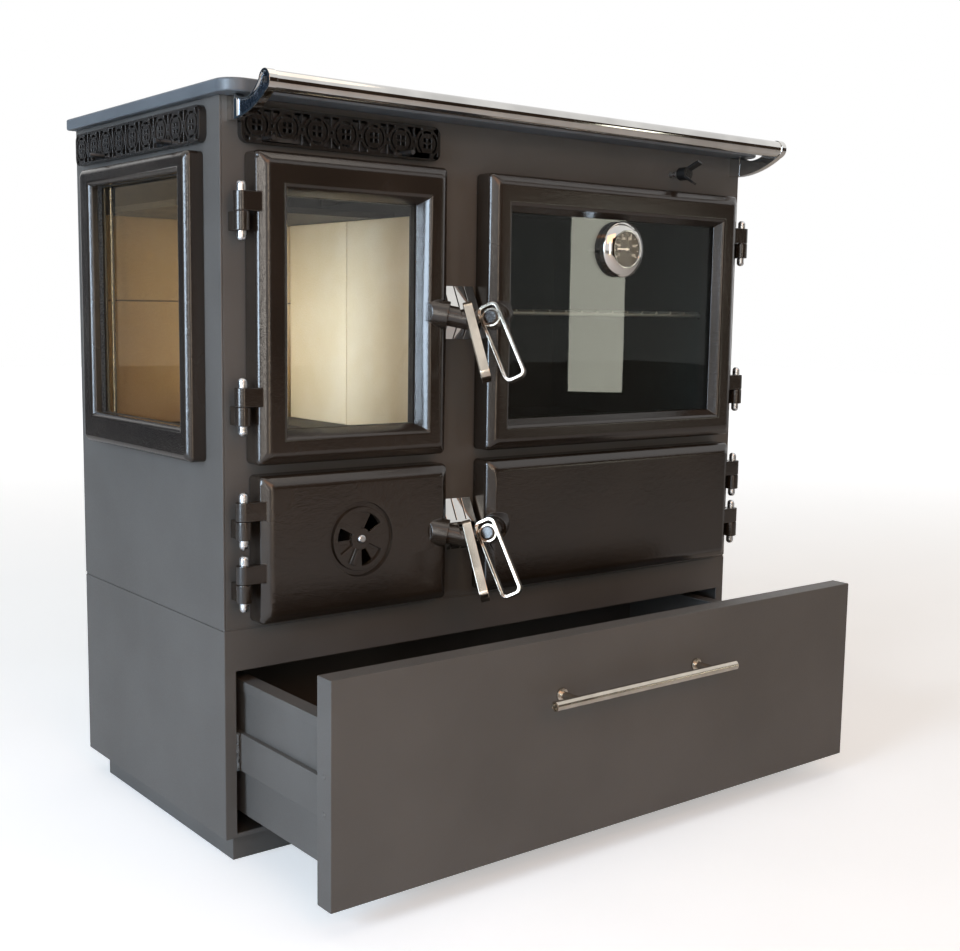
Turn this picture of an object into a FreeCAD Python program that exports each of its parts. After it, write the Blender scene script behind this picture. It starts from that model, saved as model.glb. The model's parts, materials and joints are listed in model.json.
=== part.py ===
import FreeCAD, Part
import math
import os

from FreeCAD import Rotation, Vector

# Solid-fuel range cooker: a sheet steel body with cast iron doors, a glazed firebox
# on the left, an oven on the right and a fuel drawer in the base.
# Millimetres. +X right, +Y from the front to the back, +Z up. The origin is on the
# floor, under the middle of the body.

os.makedirs("parts", exist_ok=True)

# ---------------------------------------------------------------- body sizes
body_width = 840.0
body_depth = 406.0
plinth_height = 31.0
base_height = 248.5
sheet = 2.5                  # wall of the side, back and base sheets
front_plate_thick = 5.0
seam_gap = 2.5               # floor sheet that shows as the seam between the blocks
seam_set = 1.0               # how far that sheet stands back from the faces

plinth_set_side = 15.0
plinth_set_front = 12.0
plinth_set_rear = 31.5

# ---------------------------------------------------------------- top plate
hob_thick = 14.5
hob_over_side = 10.8
hob_over_front = 36.2
hob_over_rear = 3.8
hob_corner_r = 26.0
hob_edge_r = 2.5
lid_hole_r = 95.0            # opening above the firebox
lid_step = 6.0               # ledge that carries the lid
lid_ledge = 7.0              # thickness of that ledge
lid_gap = 0.6                # clearance round the loose lid
lid_from_front = 190.0       # lid's middle; across, it is over the fire door's
lift_eye_r = 13.0            # socket for the lifting tool, with a bar across it
lift_eye_depth = 6.0
lift_bar = 6.0
lift_bar_sink = 1.0

# ---------------------------------------------------------------- handrail
rail_r = 11.0
rail_out = 82.0              # rail axis in front of the body
rail_above_top = 6.0         # rail axis above the body's top
rail_end_in = 9.0            # outer face of a bracket, from the body's side
bracket_thick = 10.0
bracket_foot_h = 27.0
bracket_foot_out = 18.0
bracket_foot_w = 11.0
bracket_disc_r = 12.0
bracket_dip = 13.0           # how far the upper edge sinks below the foot's top

# ---------------------------------------------------------------- doors
door_gap = 1.0               # between a closed door and the front plate
door_proud = 35.0            # door face in front of the front plate
door_wall = 6.0
door_bevel_w = 11.0
door_bevel_d = 8.0
door_corner_r = 6.0
door_overlap = 18.0          # how far a door covers the plate round its opening
lower_door_z = 6.0           # above the seam
lower_door_h = 169.0
door_row_gap = 12.0          # between the lower and the upper doors
upper_door_h = 344.0
left_door_w = 258.5          # fire door and ash door
fire_door_x = 29.0           # from the body's left side
ash_door_x = 32.0
upper_door_gap = 64.5        # plate between the two upper doors
lower_door_gap = 62.0
door_far_side = 32.5         # right doors' outer edge from the body's right side

# glazed doors: widths of the flat frame up to the inner edge
frame_hinge_side = 33.5
frame_free_side = 30.0
frame_top = 37.0
frame_bottom = 29.5
inner_bevel_w = 5.0
inner_bevel_d = 8.0
inner_ledge_w = 4.0          # last step before the glass
glass_depth = 19.0           # glass face behind the door face
oven_glass_depth = 13.0
glass_thick = 4.0
glass_lap = 8.0              # how far the glass runs under the frame
glass_gap = 0.5
channel_in = 8.0             # seal channel behind the outer wall
channel_w = 12.0
channel_depth = 25.0
seal_depth = 9.0

# hinges
pin_inset = 14.0             # pin axis from the body's side
pin_out = 22.0               # pin axis in front of the body
pin_r = 3.0
pin_fit = 0.05
knuckle_r = 9.0
knuckle_h = 21.0
knuckle_gap = 0.3
knuckle_arm = 10.0
upper_hinge_in = 66.0        # hinge split from a tall door's ends
lower_hinge_in = 49.0        # hinge split from a low door's ends
nut_r = 5.2
nut_h = 11.0
nut_dome = 4.5

# ---------------------------------------------------------------- door handles
boss_axis = Vector(0.79, -0.56, 0.25)     # loop's axis on left-hand doors, mirrored for the right
boss_lean = Vector(0.76, -0.62, -0.18)    # way the boss leans, from its foot to the loop's seat
loop_down = Vector(-0.08, -0.50, -0.865)  # way the loop hangs on a left-hand door
boss_in = 9.0                # boss foot from the door's free edge
upper_boss_drop = 2.5        # boss foot below the middle of its door
boss_flange_r = 17.0
boss_flange_h = 5.0
boss_sink = 26.0             # the boss starts this far back along its axis
boss_root = 7.0              # and is cut off this deep in the casting
boss_r = 12.5
boss_shoulder = 4.0          # turned part under the loop's seat
boss_len = 26.5
spigot_r = 6.0
spigot_fit = 0.05
hub_r = 9.8                  # half the width between the loop's bars
loop_play = 0.4              # end float of the loop on its spigot
loop_bar = 4.0
loop_deep = 11.0
loop_corner_r = 9.0          # outer corners of the loop
loop_up = 18.5               # spigot axis to the loop's upper end
loop_low = 84.5              # and to its lower end
cap_r = 9.0
cap_h = 3.5
tongue_r = 3.0
tongue_gap = 4.0             # between the tongue and its catch
tongue_set = 5.5             # tongue tip from the middle of the catch

catch_w = 45.0
catch_h = 66.0
catch_off = 6.0              # its middle from the middle of the gap, towards the right
catch_thick = 3.0
catch_deep = 14.0            # how far its middle stands out
catch_flat = 8.0             # flat band in the middle
catch_tab_count = 3
catch_slit = 1.5             # slit between two tabs
catch_slit_stop = 3.0        # solid left beside the flat band
catch_rise = 39.0            # top of a catch above the hub axis

# ---------------------------------------------------------------- side window
window_y = 39.0              # outer edge from the body's front
window_far = 62.0            # outer edge from the body's rear
window_taller = 1.0          # than the upper doors, at the top
window_proud = 23.5
window_bevel_w = 5.5
window_bevel_d = 5.5
window_face_near = 18.5
window_face_far = 30.5
window_face_top = 19.0
window_face_bottom = 35.0
window_inner_w = 4.0
window_inner_d = 5.0
window_glass_back = 2.0      # glass face in front of the side sheet
window_rod_r = 2.5
window_rod_in = 10.0
window_seal = 5.0

# ---------------------------------------------------------------- air grilles
grille_h = 40.0
grille_thick = 9.0
grille_rim = 4.0
grille_recess = 4.5
grille_up = 8.5              # grille above the door or window under it
grille_down = 8.5            # front grille's upper edge below the body's top
grille_corner_r = 10.0
front_grille_x = 21.5
front_grille_w = 267.5
front_motif_count = 7
side_grille_y = 29.5
side_grille_far = 21.0       # side grille's end from the body's rear
side_motif_count = 9
disc_r = 11.8                # solid disc of one motif
disc_gap = 2.7               # open ring round the disc
disc_ring = 2.4              # solid ring round that
side_arc_angle = 110.0       # open arcs left and right of the disc
end_arc_angle = 50.0         # open arcs over and under it
pane = 4.7                   # four square panes in each disc
pane_out = 3.5
gap_hole = 3.4               # square hole between two motifs
corner_from = 9.0            # corner holes: nearest edge to the disc's middle
corner_low = 6.0
corner_margin = 2.8          # solid edge over the corner holes
corner_web = 1.0             # half of the bar between two corner holes
shutter_thick = 2.0
shutter_gap = 0.5
shutter_travel = 36.0
front_stud_near = 29.0       # stud places from the grille's two ends
front_stud_far = 53.3
side_stud_near = 73.5
side_stud_far = 93.0
stud_r = 2.75
stud_len = 18.0
stud_up = 5.5                # stud axis above the grille's lower edge
slot_play = 0.5
vent_slot_h = 9.0
vent_slot_w = 26.0
vent_bridge = 10.0

# ---------------------------------------------------------------- firebox, ash
partition_thick = 5.0
port_y = 120.0               # gas port over the oven, from the body's front
port_w = 200.0
port_down = 33.0             # port's upper edge below the body's top
port_h = 50.0
brick_thick = 30.0
brick_rear_gap = 23.5        # between the back bricks and the back sheet
brick_down = 110.0           # brick tops below the body's top
brick_joint = 1.2
wall_joint_y = 200.0         # joint between the two wall bricks, from the front
lower_course_h = 163.5       # lower course of the back bricks
grate_thick = 12.0
grate_slot_w = 9.0
grate_bar_w = 12.0
grate_slot_l = 170.0
grate_slot_x = 85.0          # first slot from the body's left side
grate_slot_span = 150.0
grate_from_front = 90.0
chamber_x = 30.0             # ash chamber from the body's left side
chamber_side_gap = 7.25      # between it and the partition
chamber_rear_gap = 38.5      # between it and the back sheet
ash_pan_w = 200.0
ash_pan_rear_gap = 17.5
ash_pan_h = 70.0
ash_pan_wall = 1.5
ash_pan_gap = 0.5
ash_pan_back = 20.0          # pan face behind the front plate
pan_grip_w = 90.0
pan_grip_h = 16.0
pan_grip_out = 14.0
baffle_thick = 8.0
baffle_front = 130.0         # baffle's front edge from the body's front
baffle_side_gap = 10.0       # between the baffle and the left side

# ---------------------------------------------------------------- oven
oven_wall = 2.5
oven_rear_gap = 51.0         # gas way behind the oven
rack_up = 152.0              # rack above the oven floor
rack_rod_r = 2.5
rack_wire_r = 1.75
rack_wires = 15
rack_gap = 2.0
rack_front = 14.0            # rack behind the front plate
rack_rear_gap = 11.0
rack_rest_gap = 0.3
ledge_w = 10.0
ledge_t = 3.0
gauge_r = 37.0
gauge_deep = 18.0
gauge_wall = 8.0             # its straight side, under the tapered ring
gauge_rim_r = 25.5           # front edge of the tapered ring
gauge_dial_r = 23.8
gauge_dial_sink = 4.0
gauge_up_gap = 1.5           # between the case and the frame's upper ledge
needle_gap = 0.3
stem_r = 4.0
stem_len = 60.0
stem_fit = 0.5
needle_l = 17.0
needle_w = 2.0
needle_t = 0.8

# ---------------------------------------------------------------- air rosette
rosette_up = 3.5             # above the middle of its door
rosette_ring_r = 44.0
rosette_sink = 4.0
rosette_gap = 0.3            # end play on each side of the disc
rosette_r = 38.0
rosette_t = 3.0
rosette_windows = 3
window_arc = 60.0
rosette_turn = 32.0          # rest angle of the disc's first window
hole_turn = 2.0              # angle of the door's first hole
hole_in_r = 13.0
hole_out_r = 32.0
grip_angle = 245.0
grip_h = 5.0
grip_w = 5.0
screw_r = 3.0
screw_head_r = 5.0
screw_head_h = 3.0

# ---------------------------------------------------------------- flue
flue_from_right = 200.0
flue_down = 118.0            # flue axis below the body's top
flue_r = 60.0
flue_wall = 3.0
flue_out = 45.0
flue_flange_r = 78.0
flue_flange_t = 4.0
damper_from_right = 142.0
damper_down = 33.0
damper_r = 4.0
damper_fit = 0.05
damper_rear_in = 15.0        # spindle's end in front of the oven's rear
flap_w = 54.0
flap_l = 140.0
flap_t = 2.5
flap_from_front = 120.0
bearing_t = 6.0
bearing_w = 30.0
bearing_over = 10.0          # bearing plate above the spindle's axis
knob_r = 9.0
knob_h = 15.0
knob_stand = 18.0
wing_l = 19.0
wing_h = 9.0
wing_t = 3.5
wing_tilt = 20.0
wing_flare = 28.0

# ---------------------------------------------------------------- fuel drawer
drawer_front_drop = 5.5      # panel's top below the seam
drawer_front_under = 1.0     # panel's lower edge below the base
drawer_front_t = 27.0
drawer_skin = 2.0
drawer_return = 20.0
drawer_closed_gap = 1.5
drawer_out = 199.0           # how far it stands open in the rest pose
bay_stile = 15.0
bay_top_rail = 48.0
bay_bottom_rail = 5.5
drawer_side_in = 28.0        # drawer side from the body's side
drawer_sheet = 1.5
drawer_rear_gap = 35.0       # behind the closed drawer
drawer_rim_gap = 14.5        # drawer's rim below the bay's upper rail
drawer_lift = 18.0           # drawer's floor above the bay's lower rail
lip_out = 2.0
lip_h = 12.0
lip_in = 18.0
slide_h = 45.0
slide_half = 6.5             # thickness of each half of a runner
slide_gap = 0.4
slide_up = 55.0              # slide's lower edge above the drawer floor
bar_r = 6.0
bar_end = 38.0               # bar past each post
bar_out = 32.0
bar_drop = 72.0              # bar below the seam
post_pitch = 224.0
post_r = 4.5
post_foot_r = 8.0
post_foot_t = 3.0
bar_bore_r = 4.5
bar_bore_l = 8.0

# ---------------------------------------------------------------- planes
left = -body_width / 2
right = body_width / 2
front = -body_depth / 2
rear = body_depth / 2
seam = plinth_height + base_height
upper_door_z = lower_door_z + lower_door_h + door_row_gap
upper_door_top = upper_door_z + upper_door_h
top = seam + upper_door_top + grille_up + grille_h + grille_down
plate_back = front + front_plate_thick
door_face = front - door_proud
door_back = front - door_gap
over = 1.0                   # cutters run this far past what they cut

oven_door_x = fire_door_x + left_door_w + upper_door_gap
oven_door_w = body_width - oven_door_x - door_far_side
store_door_x = ash_door_x + left_door_w + lower_door_gap
store_door_w = body_width - store_door_x - door_far_side
meet_x = left + oven_door_x - upper_door_gap / 2      # middle of the plate between the doors


def box(x0, x1, y0, y1, z0, z1):
    return Part.makeBox(x1 - x0, y1 - y0, z1 - z0, Vector(x0, y0, z0))


def rod(start, direction, length, radius):
    return Part.makeCylinder(radius, length, start, direction)


def join(shapes):
    first = shapes[0]
    return first.fuse(shapes[1:]).removeSplitter() if len(shapes) > 1 else first


def save(name, shape):
    shape.exportStep("parts/" + name + ".step")
    print(name, len(shape.Solids), "solids", round(shape.Volume / 1000.0, 1), "cm3", shape.isValid())


def mirrored(shape):
    return shape.mirror(Vector(0, 0, 0), Vector(1, 0, 0))


def round_rect(rect, radius, level, across="y"):
    """Closed wire of a rectangle in the plane across = level, with round corners if radius > 0."""
    u0, u1, v0, v1 = rect

    def at(u, v):
        return Vector(u, level, v) if across == "y" else Vector(level, u, v)

    if radius == 0:
        corners = [at(u0, v0), at(u1, v0), at(u1, v1), at(u0, v1)]
        return Part.makePolygon(corners + corners[:1])
    r = radius
    s = r * (1 - math.sqrt(0.5))
    runs = [
        (at(u0 + r, v0), at(u1 - r, v0)), (at(u1, v0 + r), at(u1, v1 - r)),
        (at(u1 - r, v1), at(u0 + r, v1)), (at(u0, v1 - r), at(u0, v0 + r)),
    ]
    bends = [at(u1 - s, v0 + s), at(u1 - s, v1 - s), at(u0 + s, v1 - s), at(u0 + s, v0 + s)]
    edges = []
    for index in range(4):
        edges.append(Part.LineSegment(*runs[index]).toShape())
        following = runs[(index + 1) % 4][0]
        edges.append(Part.Arc(runs[index][1], bends[index], following).toShape())
    return Part.Wire(edges)


def prism(rect, radius, near, far, across="y"):
    """Round-cornered block between two parallel planes."""
    return taper(rect, rect, radius, near, far, across)


def taper(rect_near, rect_far, radius, near, far, across="y"):
    """Block that changes from one rectangle to another between two planes."""
    wires = [round_rect(rect_near, radius, near, across), round_rect(rect_far, radius, far, across)]
    return Part.makeLoft(wires, True, True)


def ring_sector(u, v, radii, angles, levels, across):
    """Sector of a ring about u, v between two planes, angles in degrees from +u towards +v."""
    def at(radius, degrees):
        a = math.radians(degrees)
        du = radius * math.cos(a)
        dv = radius * math.sin(a)
        return Vector(u + du, levels[0], v + dv) if across == "y" else Vector(levels[0], u + du, v + dv)

    inner_r, outer_r = radii
    a0, a1 = angles
    middle = (a0 + a1) / 2
    outline = Part.Wire([
        Part.Arc(at(outer_r, a0), at(outer_r, middle), at(outer_r, a1)).toShape(),
        Part.LineSegment(at(outer_r, a1), at(inner_r, a1)).toShape(),
        Part.Arc(at(inner_r, a1), at(inner_r, middle), at(inner_r, a0)).toShape(),
        Part.LineSegment(at(inner_r, a0), at(outer_r, a0)).toShape(),
    ])
    thick = levels[1] - levels[0]
    return Part.Face(outline).extrude(Vector(0, thick, 0) if across == "y" else Vector(thick, 0, 0))


def inset(rect, u0, u1, v0, v1):
    return (rect[0] + u0, rect[1] - u1, rect[2] + v0, rect[3] - v1)


def grown(rect, by):
    return inset(rect, -by, -by, -by, -by)


# ================================================================ base and drawer
def plinth():
    x0 = left + plinth_set_side
    x1 = right - plinth_set_side
    y0 = front + plinth_set_front
    y1 = rear - plinth_set_rear
    tray = box(x0, x1, y0, y1, 0, plinth_height)
    return tray.cut(box(x0 + sheet, x1 - sheet, y0 + sheet, y1 - sheet, sheet, plinth_height + over))


base_top = seam - seam_gap
bay_floor = plinth_height + bay_bottom_rail
bay_roof = base_top - bay_top_rail


def base_casing():
    """Folded base: sides, back, bottom and the frame round the drawer bay."""
    shell = box(left, right, front, rear, plinth_height, base_top)
    low = plinth_height + sheet
    room = box(left + sheet, right - sheet, front + sheet, rear - sheet, low, base_top + over)
    bay = box(left + bay_stile, right - bay_stile, front - over, front + sheet + over, bay_floor, bay_roof)
    return shell.cut([room, bay])


drawer_back = front - drawer_closed_gap - drawer_out       # rear face of the drawer front
drawer_face = drawer_back - drawer_front_t
drawer_depth = body_depth - sheet + drawer_closed_gap - drawer_rear_gap
drawer_rim = bay_roof - drawer_rim_gap
drawer_floor = bay_floor + drawer_lift
slide_z = drawer_floor + slide_up
slide_len = drawer_depth - drawer_return


def drawer_front():
    """Folded panel: a skin with returned edges, open behind."""
    z1 = seam - drawer_front_drop
    z0 = plinth_height - drawer_front_under
    panel = box(left, right, drawer_face, drawer_back, z0, z1)
    skin = drawer_skin
    room = box(left + skin, right - skin, drawer_face + skin, drawer_back - skin, z0 + skin, z1 - skin)
    back = drawer_return
    near = drawer_back - skin - over
    window = box(left + back, right - back, near, drawer_back + over, z0 + back, z1 - back)
    return panel.cut([room, window])


def drawer_box():
    """Sides with folded lips, bottom and back, welded into one box."""
    y1 = drawer_back + drawer_depth
    x0 = left + drawer_side_in
    x1 = right - drawer_side_in
    t = drawer_sheet
    walls = [
        box(x0, x0 + t, drawer_back, y1, drawer_floor, drawer_rim),
        box(x1 - t, x1, drawer_back, y1, drawer_floor, drawer_rim),
        box(x0, x1, drawer_back, y1, drawer_floor, drawer_floor + t),
        box(x0, x1, y1 - t, y1, drawer_floor, drawer_rim),
        box(x0, x1, drawer_back, drawer_back + t, drawer_floor, drawer_rim - lip_h),
        box(x0 - lip_out, x0 + t, drawer_back, y1, drawer_rim - lip_h, drawer_rim),
        box(x1 - t, x1 + lip_out, drawer_back, y1, drawer_rim - lip_h, drawer_rim),
        box(x0, x0 + lip_in, drawer_back, y1, drawer_rim - t, drawer_rim),
        box(x1 - lip_in, x1, drawer_back, y1, drawer_rim - t, drawer_rim),
    ]
    return join(walls)


def drawer_slides():
    """Moving halves of the runners, one each side of the drawer."""
    x1 = left + drawer_side_in
    x0 = x1 - slide_half
    y0 = drawer_back + drawer_return
    half = box(x0, x1, y0, y0 + slide_len, slide_z, slide_z + slide_h)
    return Part.makeCompound([half, mirrored(half)])


def drawer_runners():
    """Fixed halves on the base's sides, with the spacers that carry them."""
    x1 = left + drawer_side_in - slide_half - slide_gap
    y0 = front + sheet + seam_gap
    half = box(left + sheet, x1, y0, y0 + slide_len, slide_z, slide_z + slide_h)
    return Part.makeCompound([half, mirrored(half)])


bar_y = drawer_face - bar_out
bar_z = seam - bar_drop
bar_len = post_pitch + 2 * bar_end


def drawer_handle():
    """Tube bar with sunk ends on two posts, with a rose at the foot of each."""
    along = Vector(1, 0, 0)
    bar = rod(Vector(-bar_len / 2, bar_y, bar_z), along, bar_len, bar_r)
    bore = rod(Vector(-bar_len / 2 - over, bar_y, bar_z), along, bar_bore_l + over, bar_bore_r)
    back = Vector(0, -1, 0)
    foot = rod(Vector(post_pitch / 2, drawer_face, bar_z), back, post_foot_t, post_foot_r)
    post = rod(Vector(post_pitch / 2, drawer_face, bar_z), back, bar_out, post_r)
    return join([bar, foot, post, mirrored(foot), mirrored(post)]).cut([bore, mirrored(bore)])


# ================================================================ body panels
def opening(x, width, z, height):
    """Opening in the front plate behind a door, as left, right, bottom, top."""
    rect = (left + x, left + x + width, seam + z, seam + z + height)
    return inset(rect, door_overlap, door_overlap, door_overlap, door_overlap)


fire_opening = opening(fire_door_x, left_door_w, upper_door_z, upper_door_h)
ash_opening = opening(ash_door_x, left_door_w, lower_door_z, lower_door_h)
oven_opening = opening(oven_door_x, oven_door_w, upper_door_z, upper_door_h)
store_opening = opening(store_door_x, store_door_w, lower_door_z, lower_door_h)

window_top = seam + upper_door_top + window_taller
window_outer = (front + window_y, rear - window_far, seam + upper_door_z, window_top)
window_arris = inset(window_outer, window_face_near, window_face_far, window_face_bottom, window_face_top)
window_hole = inset(window_arris, window_inner_w, window_inner_w, window_inner_w, window_inner_w)

front_grille_z = seam + upper_door_top + grille_up
side_grille_z = window_top + grille_up
front_grille_rect = (
    left + front_grille_x, left + front_grille_x + front_grille_w,
    front_grille_z, front_grille_z + grille_h,
)
side_grille_rect = (
    front + side_grille_y, rear - side_grille_far,
    side_grille_z, side_grille_z + grille_h,
)
damper_x = right - damper_from_right
damper_z = top - damper_down
partition_left = meet_x - partition_thick / 2
partition_right = meet_x + partition_thick / 2
flue_centre = Vector(right - flue_from_right, rear, top - flue_down)


def vent_slots(rect, near, far, across):
    """Row of air slots behind a grille."""
    pitch = vent_slot_w + vent_bridge
    room = rect[1] - rect[0] - 2 * grille_rim - vent_bridge
    count = int(room // pitch)
    start = (rect[0] + rect[1]) / 2 - (count * pitch - vent_bridge) / 2
    middle = (rect[2] + rect[3]) / 2
    slots = []
    for index in range(count):
        u0 = start + index * pitch
        slot = (u0, u0 + vent_slot_w, middle - vent_slot_h / 2, middle + vent_slot_h / 2)
        slots.append(prism(slot, vent_slot_h / 3, near, far, across))
    return slots


def front_plate():
    plate = box(left + sheet, right - sheet, front, plate_back, seam, top)
    near = front - over
    far = plate_back + over
    cuts = []
    for rect in (fire_opening, ash_opening, oven_opening, store_opening):
        cuts.append(prism(rect, door_corner_r, near, far))
    cuts += vent_slots(front_grille_rect, near, far, "y")
    spindle = Vector(damper_x, near, damper_z)
    cuts.append(rod(spindle, Vector(0, 1, 0), far - near, damper_r + damper_fit))
    return plate.cut(cuts)


def side_panel_left():
    panel = box(left, left + sheet, front, rear, seam, top)
    near = left - over
    far = left + sheet + over
    cuts = [prism(window_hole, door_corner_r, near, far, "x")]
    cuts += vent_slots(side_grille_rect, near, far, "x")
    return panel.cut(cuts)


def side_panel_right():
    return box(right - sheet, right, front, rear, seam, top)


def back_panel():
    panel = box(left + sheet, right - sheet, rear - sheet, rear, seam, top)
    back = Vector(0, 1, 0)
    hole = rod(flue_centre - back * (sheet + over), back, sheet + 2 * over, flue_r - flue_wall)
    return panel.cut(hole)


def body_floor():
    return box(left + seam_set, right - seam_set, front + seam_set, rear - seam_set, base_top, seam)


def fire_partition():
    """Wall between firebox and oven, with the port that lets the gases over the oven."""
    x0 = partition_left
    x1 = partition_right
    wall = box(x0, x1, plate_back, rear - sheet, seam, top)
    y0 = front + port_y
    z1 = top - port_down
    return wall.cut(box(x0 - over, x1 + over, y0, y0 + port_w, z1 - port_h, z1))


def flue_spigot():
    back = Vector(0, 1, 0)
    flange = rod(flue_centre, back, flue_flange_t, flue_flange_r)
    body = join([flange, rod(flue_centre, back, flue_out, flue_r)])
    bore = rod(flue_centre - back * over, back, flue_out + 2 * over, flue_r - flue_wall)
    return body.cut(bore)


# ================================================================ top plate and rail
lid_centre = Vector(left + fire_door_x + left_door_w / 2, front + lid_from_front, top)


def hob_plate():
    x0 = left - hob_over_side
    x1 = right + hob_over_side
    y0 = front - hob_over_front
    y1 = rear + hob_over_rear
    slab = box(x0, x1, y0, y1, top, top + hob_thick)
    corners = [
        edge for edge in slab.Edges
        if abs(edge.Vertexes[0].X - edge.Vertexes[1].X) < 1e-6
        and abs(edge.Vertexes[0].Y - edge.Vertexes[1].Y) < 1e-6
        and edge.Vertexes[0].Y < 0
    ]
    slab = slab.makeFillet(hob_corner_r, corners)
    rim = [
        edge for edge in slab.Edges
        if min(v.Z for v in edge.Vertexes) > top + hob_thick - 1e-6
        or max(v.Z for v in edge.Vertexes) < top + 1e-6
    ]
    slab = slab.makeFillet(hob_edge_r, rim)
    up = Vector(0, 0, 1)
    seat = rod(lid_centre + up * lid_ledge, up, hob_thick, lid_hole_r)
    through = rod(lid_centre - up * over, up, hob_thick + 2 * over, lid_hole_r - lid_step)
    return slab.cut([seat, through])


def hob_lid():
    """Round lid whose lower half is smaller, so that it sits on the plate's ledge."""
    up = Vector(0, 0, 1)
    upper = rod(lid_centre + up * lid_ledge, up, hob_thick - lid_ledge, lid_hole_r - lid_gap)
    lower = rod(lid_centre, up, lid_ledge, lid_hole_r - lid_step - lid_gap)
    socket = rod(lid_centre + up * (hob_thick - lift_eye_depth), up, hob_thick, lift_eye_r)
    bar = box(
        lid_centre.x - lift_eye_r - over, lid_centre.x + lift_eye_r + over,
        lid_centre.y - lift_bar / 2, lid_centre.y + lift_bar / 2,
        top, top + hob_thick - lift_bar_sink,
    )
    return join([lower, upper]).cut(socket.cut(bar))


rail_y = front - rail_out
rail_z = top + rail_above_top


def handrail():
    x0 = left + rail_end_in + bracket_thick
    return rod(Vector(x0, rail_y, rail_z), Vector(1, 0, 0), -2 * x0, rail_r)


def rail_brackets():
    """Curved arms: a foot on the body, a crescent, and a disc that closes the rail's end."""
    x0 = left + rail_end_in
    foot_top = top
    foot_bottom = foot_top - bracket_foot_h
    foot_y = front - bracket_foot_out
    foot = box(x0, x0 + bracket_foot_w, foot_y, front, foot_bottom, foot_top)
    lean = math.radians(40)
    low = Vector(x0, rail_y - bracket_disc_r * math.cos(lean), rail_z - bracket_disc_r * math.sin(lean))
    high = Vector(x0, rail_y + bracket_disc_r * math.sin(lean), rail_z + bracket_disc_r * math.cos(lean))
    start_low = Vector(x0, foot_y, foot_bottom)
    start_high = Vector(x0, foot_y, foot_top)
    reach = rail_out - bracket_foot_out
    mid_low = Vector(x0, foot_y - reach * 0.62, foot_bottom + (rail_z - foot_bottom) * 0.24)
    mid_high = Vector(x0, foot_y - reach * 0.40, foot_top - bracket_dip * 0.45)
    outline = Part.Wire([
        Part.Arc(start_low, mid_low, low).toShape(),
        Part.LineSegment(low, high).toShape(),
        Part.Arc(high, mid_high, start_high).toShape(),
        Part.LineSegment(start_high, start_low).toShape(),
    ])
    arm = Part.Face(outline).extrude(Vector(bracket_thick, 0, 0))
    disc = rod(Vector(x0, rail_y, rail_z), Vector(1, 0, 0), bracket_thick, bracket_disc_r)
    one = join([foot, arm, disc])
    return Part.makeCompound([one, mirrored(one)])


# ================================================================ hinges
def hinge_levels(z, height, inset_each):
    return [seam + z + inset_each, seam + z + height - inset_each]


left_pin_x = left + pin_inset
pin_y = front - pin_out
upper_splits = hinge_levels(upper_door_z, upper_door_h, upper_hinge_in)
lower_splits = hinge_levels(lower_door_z, lower_door_h, lower_hinge_in)


def fixed_knuckles():
    solids = []
    for split in upper_splits + lower_splits:
        z0 = split - knuckle_gap / 2 - knuckle_h
        barrel = rod(Vector(left_pin_x, pin_y, z0), Vector(0, 0, 1), knuckle_h, knuckle_r)
        half = knuckle_arm / 2
        foot = box(left_pin_x - half, left_pin_x + half, pin_y, front, z0, z0 + knuckle_h)
        start = Vector(left_pin_x, pin_y, z0 - over)
        bore = rod(start, Vector(0, 0, 1), knuckle_h + 2 * over, pin_r + pin_fit)
        one = join([barrel, foot]).cut(bore)
        solids += [one, mirrored(one)]
    return Part.makeCompound(solids)


def hinge_pins():
    """Each pin with the dome nuts on both its ends."""
    solids = []
    for split in upper_splits + lower_splits:
        reach = knuckle_gap / 2 + knuckle_h + knuckle_gap
        up = Vector(0, 0, 1)
        pin = rod(Vector(left_pin_x, pin_y, split - reach), up, 2 * reach, pin_r)
        nuts = []
        for way in (1, -1):
            nut = rod(Vector(0, 0, 0), up, nut_h, nut_r)
            crown = [edge for edge in nut.Edges if edge.Vertexes[0].Z > nut_h - 1e-6 and edge.Closed]
            nut = nut.makeFillet(nut_dome, crown)
            if way < 0:
                nut = nut.mirror(Vector(0, 0, 0), up)
            nut.translate(Vector(left_pin_x, pin_y, split + way * reach))
            nuts.append(nut)
        one = join([pin] + nuts)
        solids += [one, mirrored(one)]
    return Part.makeCompound(solids)


def door_knuckle(split, edge_x, pin_x):
    """Upper half of a hinge: barrel and the arm that runs into the casting's edge."""
    z0 = split + knuckle_gap / 2
    barrel = rod(Vector(pin_x, pin_y, z0), Vector(0, 0, 1), knuckle_h, knuckle_r)
    reach = edge_x + math.copysign(door_wall, edge_x - pin_x)
    arm = box(
        min(pin_x, reach), max(pin_x, reach),
        pin_y - knuckle_r, pin_y - knuckle_r + knuckle_arm, z0, z0 + knuckle_h,
    )
    return join([barrel, arm])


def knuckle_bore(split, pin_x):
    z0 = split + knuckle_gap / 2
    return rod(Vector(pin_x, pin_y, z0 - over), Vector(0, 0, 1), knuckle_h + 2 * over, pin_r + pin_fit)


# ================================================================ handles and catches
boss_n = Vector(boss_axis).normalize()
boss_b = Vector(boss_lean).normalize()
loop_l = Vector(loop_down)
loop_l = (loop_l - boss_n * loop_l.dot(boss_n)).normalize()
loop_c = boss_n.cross(loop_l).normalize()
hub_at = loop_play / 2 + loop_deep / 2                 # loop's middle from its seat
upper_boss_z = upper_door_z + upper_door_h / 2 - upper_boss_drop
lower_boss_z = lower_door_z + lower_door_h / 2
boss_trim = frame_free_side - boss_in                  # flat on the boss towards the door's middle


def boss_foot(edge_x, z):
    """Foot of a left-hand door's boss on the door face."""
    return Vector(edge_x - boss_in, door_face, seam + z)


def boss_seat(foot):
    """Middle of the face that the loop turns on."""
    return foot + boss_b * boss_len


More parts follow.
